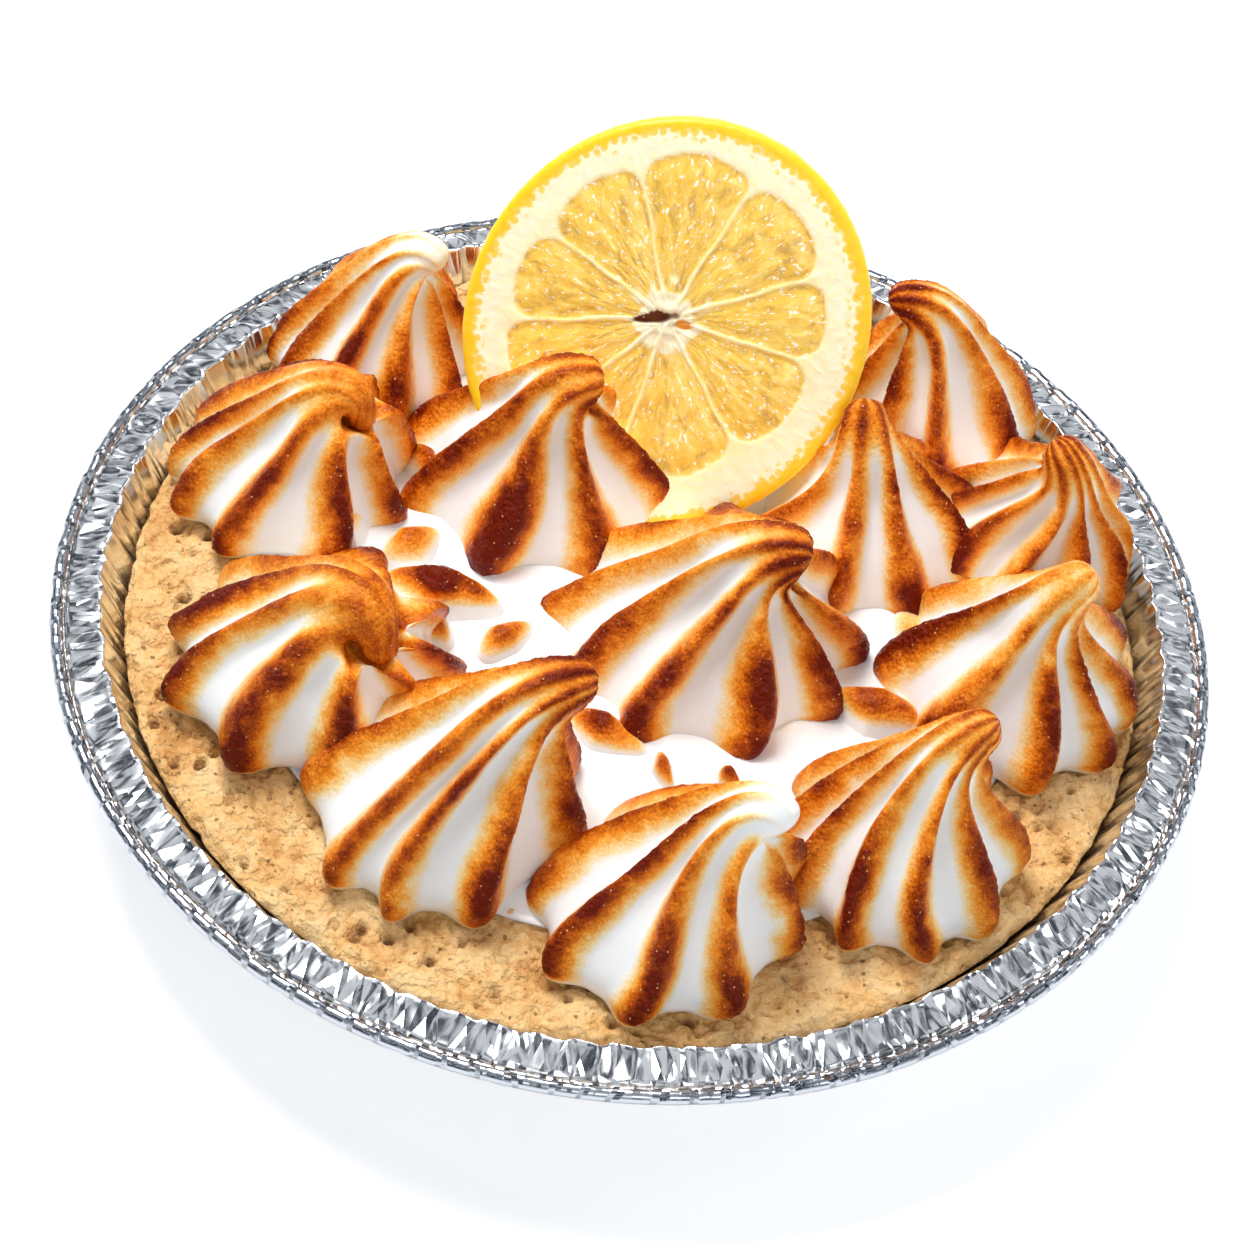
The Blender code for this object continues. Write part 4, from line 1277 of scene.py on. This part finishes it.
@dataclass
class LemonSlice:
    """The oval slice of lemon, which leans back out of the meringue. Millimetres."""

    centre: Place = (-2.2, 40.4, 60.0)
    long_radius: float = 37.6
    short_radius: float = 34.9
    long_angle: float = 60.0
    thickness: float = 5.6
    lean: float = 36.0
    turn: float = -3.0
    corner: float = 1.1
    core: Pair = (-0.1, 1.35)
    core_radius: float = 2.6
    segment_radius: float = 28.8
    membrane: float = 0.28
    rounding: float = 3.2
    membranes: tuple[float, ...] = (-169.4, -132.2, -98.3, -52.3, -7.7, 25.8, 66.8, 109.2, 152.8)
    face_share: float = 0.92
    outline_scale: float = 36.2
    slit_middle: Pair = (-2.4, -0.3)
    slit_half_length: float = 4.3
    slit_widths: Pair = (0.45, 1.15)
    slit_tilt: float = 16.0
    pocket: Pair = (3.3, -0.6)
    pocket_sizes: Pair = (1.7, 0.8)
    hole_depth: float = 1.6
    pocket_depth: float = 0.5
    flesh_sink: float = 0.30
    flesh_swell: float = 0.34
    flesh_ripple: float = 0.13
    pitting: float = 0.004
    sacs_per_radian: float = 13.0
    sac_length: float = 3.125
    mean_radius: float = 36.0
    gland_pitch: float = 1.9
    seed: int = 77

    def placing(self) -> Matrix:
        """Return the matrix that leans the slice back and turns its face to the front."""
        lean = Matrix.Rotation(math.radians(90.0 - self.lean), 4, "X")
        turn = Matrix.Rotation(math.radians(self.turn), 4, "Z")
        return Matrix.Translation(Vector(self.centre) * MM) @ turn @ lean

    def outline(self, angle: Array) -> Array:
        """Return the oval's radius at an angle in the slice's own plane."""
        off = angle - math.radians(self.long_angle)
        return 1.0 / np.sqrt((np.cos(off) / self.long_radius) ** 2 + (np.sin(off) / self.short_radius) ** 2)

    def rim_path(self, share: Array) -> tuple[Array, Array]:
        """Return (inset from the oval, height) round the rind, from the back face to the front."""
        turns = np.radians(np.linspace(-90.0, 0.0, 7))
        low = [(self.corner * (1 - math.cos(a)), -self.thickness + self.corner * (1 + math.sin(a)))
               for a in turns]
        high = [(inset, -self.thickness - height) for inset, height in reversed(low)]
        path = np.array(low + high)
        steps = np.concatenate([[0.0], np.cumsum(np.hypot(*np.diff(path, axis=0).T))])
        at = share * steps[-1]
        return np.interp(at, steps, path[:, 0]), np.interp(at, steps, path[:, 1])

    def segments(self, x: Array, y: Array) -> tuple[Array, Array, Array]:
        """Measure each place against the juice segments.

        Args:
            x: places across the slice.
            y: places up the slice.

        Returns:
            The depth inside a segment, the angle and the distance from the core.
        """
        wobble = lumps(flat_places(x, y), (6.0, 3.0), self.seed)
        cx, cy = x - self.core[0], y - self.core[1]
        away = np.hypot(cx, cy)
        marks = np.radians(np.array([*self.membranes, self.membranes[0] + 360.0]))
        angle = (np.arctan2(cy, cx) - marks[0]) % (2 * math.pi) + marks[0]
        angle = angle + 0.5 * wobble / np.maximum(away, 6.0)
        index = np.clip(np.searchsorted(marks, angle, side="right") - 1, 0, len(marks) - 2)
        left = away * np.sin(np.clip(angle - marks[index], 0.0, math.pi / 2)) - self.membrane / 2
        right = away * np.sin(np.clip(marks[index + 1] - angle, 0.0, math.pi / 2)) - self.membrane / 2
        mid = 0.5 * (marks[index] + marks[index + 1])
        half = 0.5 * (marks[index + 1] - marks[index])
        scale = self.outline(np.arctan2(y, x)) / self.outline_scale
        bow = 1.0 - 0.06 * np.abs((angle - mid) / half) ** 2
        rng = np.random.default_rng(self.seed)
        reach = rng.uniform(0.97, 1.02, len(marks))[index]
        outer = self.segment_radius * scale * bow * reach - away + 0.5 * wobble
        inner = away - self.core_radius * (1.0 + 0.25 * wobble)
        side = np.minimum(left, right)
        short_side = np.maximum(self.rounding - side, 0.0)
        short_outer = np.maximum(self.rounding - outer, 0.0)
        corner = self.rounding - np.hypot(short_side, short_outer)
        inside = np.where((short_side > 0) & (short_outer > 0), corner, np.minimum(side, outer))
        return np.minimum(inside, inner), angle - marks[0], away

    def slit(self, x: Array, y: Array, rag: Array) -> tuple[Array, Array]:
        """Return how deep each place is in the core's long slit and in the small pocket beside it.

        Args:
            x: places across the slice, from the core.
            y: places up the slice, from the core.
            rag: how ragged the edges are at each place.

        Returns:
            Two masks from 0 to 1.
        """
        tilt = math.radians(self.slit_tilt)
        right, up = x - self.slit_middle[0], y - self.slit_middle[1]
        along = right * math.cos(tilt) + up * math.sin(tilt)
        across = -right * math.sin(tilt) + up * math.cos(tilt)
        half = self.slit_half_length
        wide = self.slit_widths[0] + self.slit_widths[1] * np.clip((along + half) / (2.0 * half), 0.0, 1.0)
        hole = 1.0 - ease(0.75, 1.05, np.hypot(along / half, across / wide) + 0.35 * rag)
        off_pocket = np.hypot((x - self.pocket[0]) / self.pocket_sizes[0],
                              (y - self.pocket[1]) / self.pocket_sizes[1])
        return hole, 1.0 - ease(0.7, 1.1, off_pocket + 0.4 * rag)

    def build(self, material: Material) -> None:
        """Make the slice.

        Args:
            material: the cut lemon.
        """
        obj, share, angle = ball_grid("lemon_round", 420, 150)
        level = 2.0 * share - 1.0
        front = level > 0
        on_rim = np.abs(level) < 1.0 - self.face_share
        face = np.clip((1.0 - np.abs(level)) / self.face_share, 0.0, 1.0)
        oval = self.outline(angle)
        inset, height = self.rim_path(np.clip(0.5 + 0.5 * level / (1.0 - self.face_share), 0.0, 1.0))
        radius = np.where(on_rim, oval - inset, (oval - self.corner) * face)
        x, y = radius * np.cos(angle), radius * np.sin(angle)
        z = np.where(on_rim, height, np.where(front, 0.0, -self.thickness))
        depth, bearing, away = self.segments(x, y)
        flesh = np.where(on_rim, 0.0, ease(-0.05, 0.45, depth))
        streak = np.stack([bearing * 14.0, away * 0.22, np.where(front, 0.0, 9.0)], axis=-1)
        ripple = lumps(streak, (1.0, 0.6), self.seed + 2)
        swell = (self.flesh_swell * ease(0.5, 4.0, depth) - self.flesh_sink * flesh
                 + self.flesh_ripple * ripple * flesh)
        rag = lumps(flat_places(x, y), (2.2, 1.1), self.seed + 4)
        hole, pocket = self.slit(x - self.core[0], y - self.core[1], rag)
        hole, pocket = hole * front, pocket * front
        ragged = 1.0 - ease(4.6, 6.4, away + 4.0 * rag)
        flesh = flesh * (1.0 - ragged)
        core = ragged * (0.25 + 0.55 * rag)
        relief = np.where(on_rim, 0.0, swell + core - self.hole_depth * hole - self.pocket_depth * pocket)
        z = z + np.where(front, relief, -relief)
        pits = lumps(np.stack([x, y, z], axis=-1), (1.6, 0.8), self.seed + 6)
        pitted = np.where(on_rim, 1.0 + self.pitting * pits, 1.0)
        points = np.stack([x * pitted, y * pitted, z], axis=-1)
        placing = np.array(self.placing())
        move_points(obj, points @ placing[:3, :3].T + placing[:3, 3] / MM)
        from_core = np.hypot(x, y)
        for name, values in (("flesh", flesh * (1.0 - hole)), ("hole", hole), ("pocket", pocket),
                             ("edge", np.where(on_rim, 1.0, from_core / oval))):
            mark(obj, name, values)
        turn = 2.0 * math.pi
        map_surface(obj, "polar", bearing * self.sacs_per_radian, away / self.sac_length,
                    turn * self.sacs_per_radian)
        glands = self.mean_radius / self.gland_pitch
        map_surface(obj, "ring", angle * glands,
                    (oval - from_core + np.where(on_rim, -z, 0.0)) / self.gland_pitch, turn * glands)
        settle(obj, material, "lemon_slice")


# The studio


@dataclass
class Studio:
    """The floor, the lights and the camera. Metres, and pixels of the photograph's frame."""

    frame_pixels: float = 1254.0
    focal_pixels: float = 4058.0
    distance: float = 0.7097
    elevation: float = 48.84
    roll: float = 8.42
    offset_pixels: Pair = (8.1, -8.7)
    floor_size: float = 6.0
    floor_shade: float = 0.93
    floor_glow: float = 0.42
    dark_panel: Colour = (0.025, 0.035, 0.055)
    bright_panel: Colour = (0.95, 0.98, 1.0)
    panel_scale: float = 3.6
    sky_strength: float = 0.70

    def build_floor(self) -> None:
        """Make the pale floor."""
        begin()
        bpy.ops.mesh.primitive_plane_add(size=self.floor_size, location=(0.0, 0.0, 0.0))
        floor = bpy.context.object
        floor.name = "floor"
        material, tree, shader = new_finish("pale floor")
        tree.feed(shader, {
            "Base Color": (self.floor_shade, self.floor_shade, self.floor_shade, 1.0),
            "Roughness": 0.9,
            "Specular IOR Level": 0.1,
            "Emission Color": (1.0, 1.0, 1.0, 1.0),
            "Emission Strength": self.floor_glow,
        })
        floor.data.materials.append(material)

    def lamp(self, name: str, place: Place, size: Pair, power: float, aim: Place = (0.0, 0.0, 0.03)) -> None:
        """Hang one soft lamp.

        Args:
            name: the lamp's name.
            place: where it hangs.
            size: its width and height.
            power: its power in watts.
            aim: where it points.
        """
        light = bpy.data.lights.new(name, "AREA")
        light.shape = "RECTANGLE"
        light.size, light.size_y = size
        light.energy = power
        obj = bpy.data.objects.new(name, light)
        bpy.context.scene.collection.objects.link(obj)
        obj.location = place
        obj.rotation_euler = (Vector(aim) - Vector(place)).to_track_quat("-Z", "Y").to_euler()

    def build_lights(self) -> None:
        """Set the soft studio light."""
        self.lamp("key", (-0.22, 0.30, 0.82), (0.40, 0.40), 8.2)
        self.lamp("fill", (0.25, -0.75, 0.70), (0.60, 0.40), 1.5)
        self.lamp("side", (0.80, 0.20, 0.45), (0.20, 0.6), 1.3)
        world = bpy.data.worlds.new("studio")
        bpy.context.scene.world = world
        world.use_nodes = True
        tree = Tree(world.node_tree)
        toward = tree.add("ShaderNodeTexCoord").outputs["Generated"]
        panels = tree.noise(toward, self.panel_scale, 1.0)
        sky = tree.ramp(panels, (0.46, self.dark_panel), (0.54, self.bright_panel))
        tree.feed(world.node_tree.nodes["Background"], {"Color": sky, "Strength": self.sky_strength})
        bpy.context.scene.view_settings.view_transform = "Standard"

    def build_camera(self) -> None:
        """Set the camera where the photograph was taken from."""
        tilt = math.radians(self.elevation)
        rim = RIM_HEIGHT_MM * MM
        place = Vector((0.0, -self.distance * math.cos(tilt), self.distance * math.sin(tilt) + rim))
        ahead = Vector((0.0, math.cos(tilt), -math.sin(tilt)))
        level = Vector((1.0, 0.0, 0.0))
        above = level.cross(ahead)
        roll = math.radians(self.roll)
        right = math.cos(roll) * level + math.sin(roll) * above
        up = math.cos(roll) * above - math.sin(roll) * level
        camera = bpy.data.cameras.new("camera")
        camera.sensor_width = 36.0
        camera.lens = self.focal_pixels / self.frame_pixels * camera.sensor_width
        camera.shift_x = -self.offset_pixels[0] / self.frame_pixels
        camera.shift_y = self.offset_pixels[1] / self.frame_pixels
        obj = bpy.data.objects.new("camera", camera)
        bpy.context.scene.collection.objects.link(obj)
        obj.matrix_world = Matrix((
            (right.x, up.x, -ahead.x, place.x),
            (right.y, up.y, -ahead.y, place.y),
            (right.z, up.z, -ahead.z, place.z),
            (0.0, 0.0, 0.0, 1.0),
        ))
        bpy.context.scene.camera = obj


def main() -> None:
    """Build the studio and the pie."""
    logging.basicConfig(level=logging.INFO, format="%(name)s: %(message)s")
    studio = Studio()
    studio.build_camera()
    studio.build_lights()
    studio.build_floor()
    speckle = speckle_group()
    FoilTin().build(FoilFinish().build())
    Crust().build(CrustFinish().build(speckle))
    Meringue().build(MeringueFinish().build(speckle))
    LemonSlice().build(LemonFinish().build())


if __name__ == "__main__":
    main()
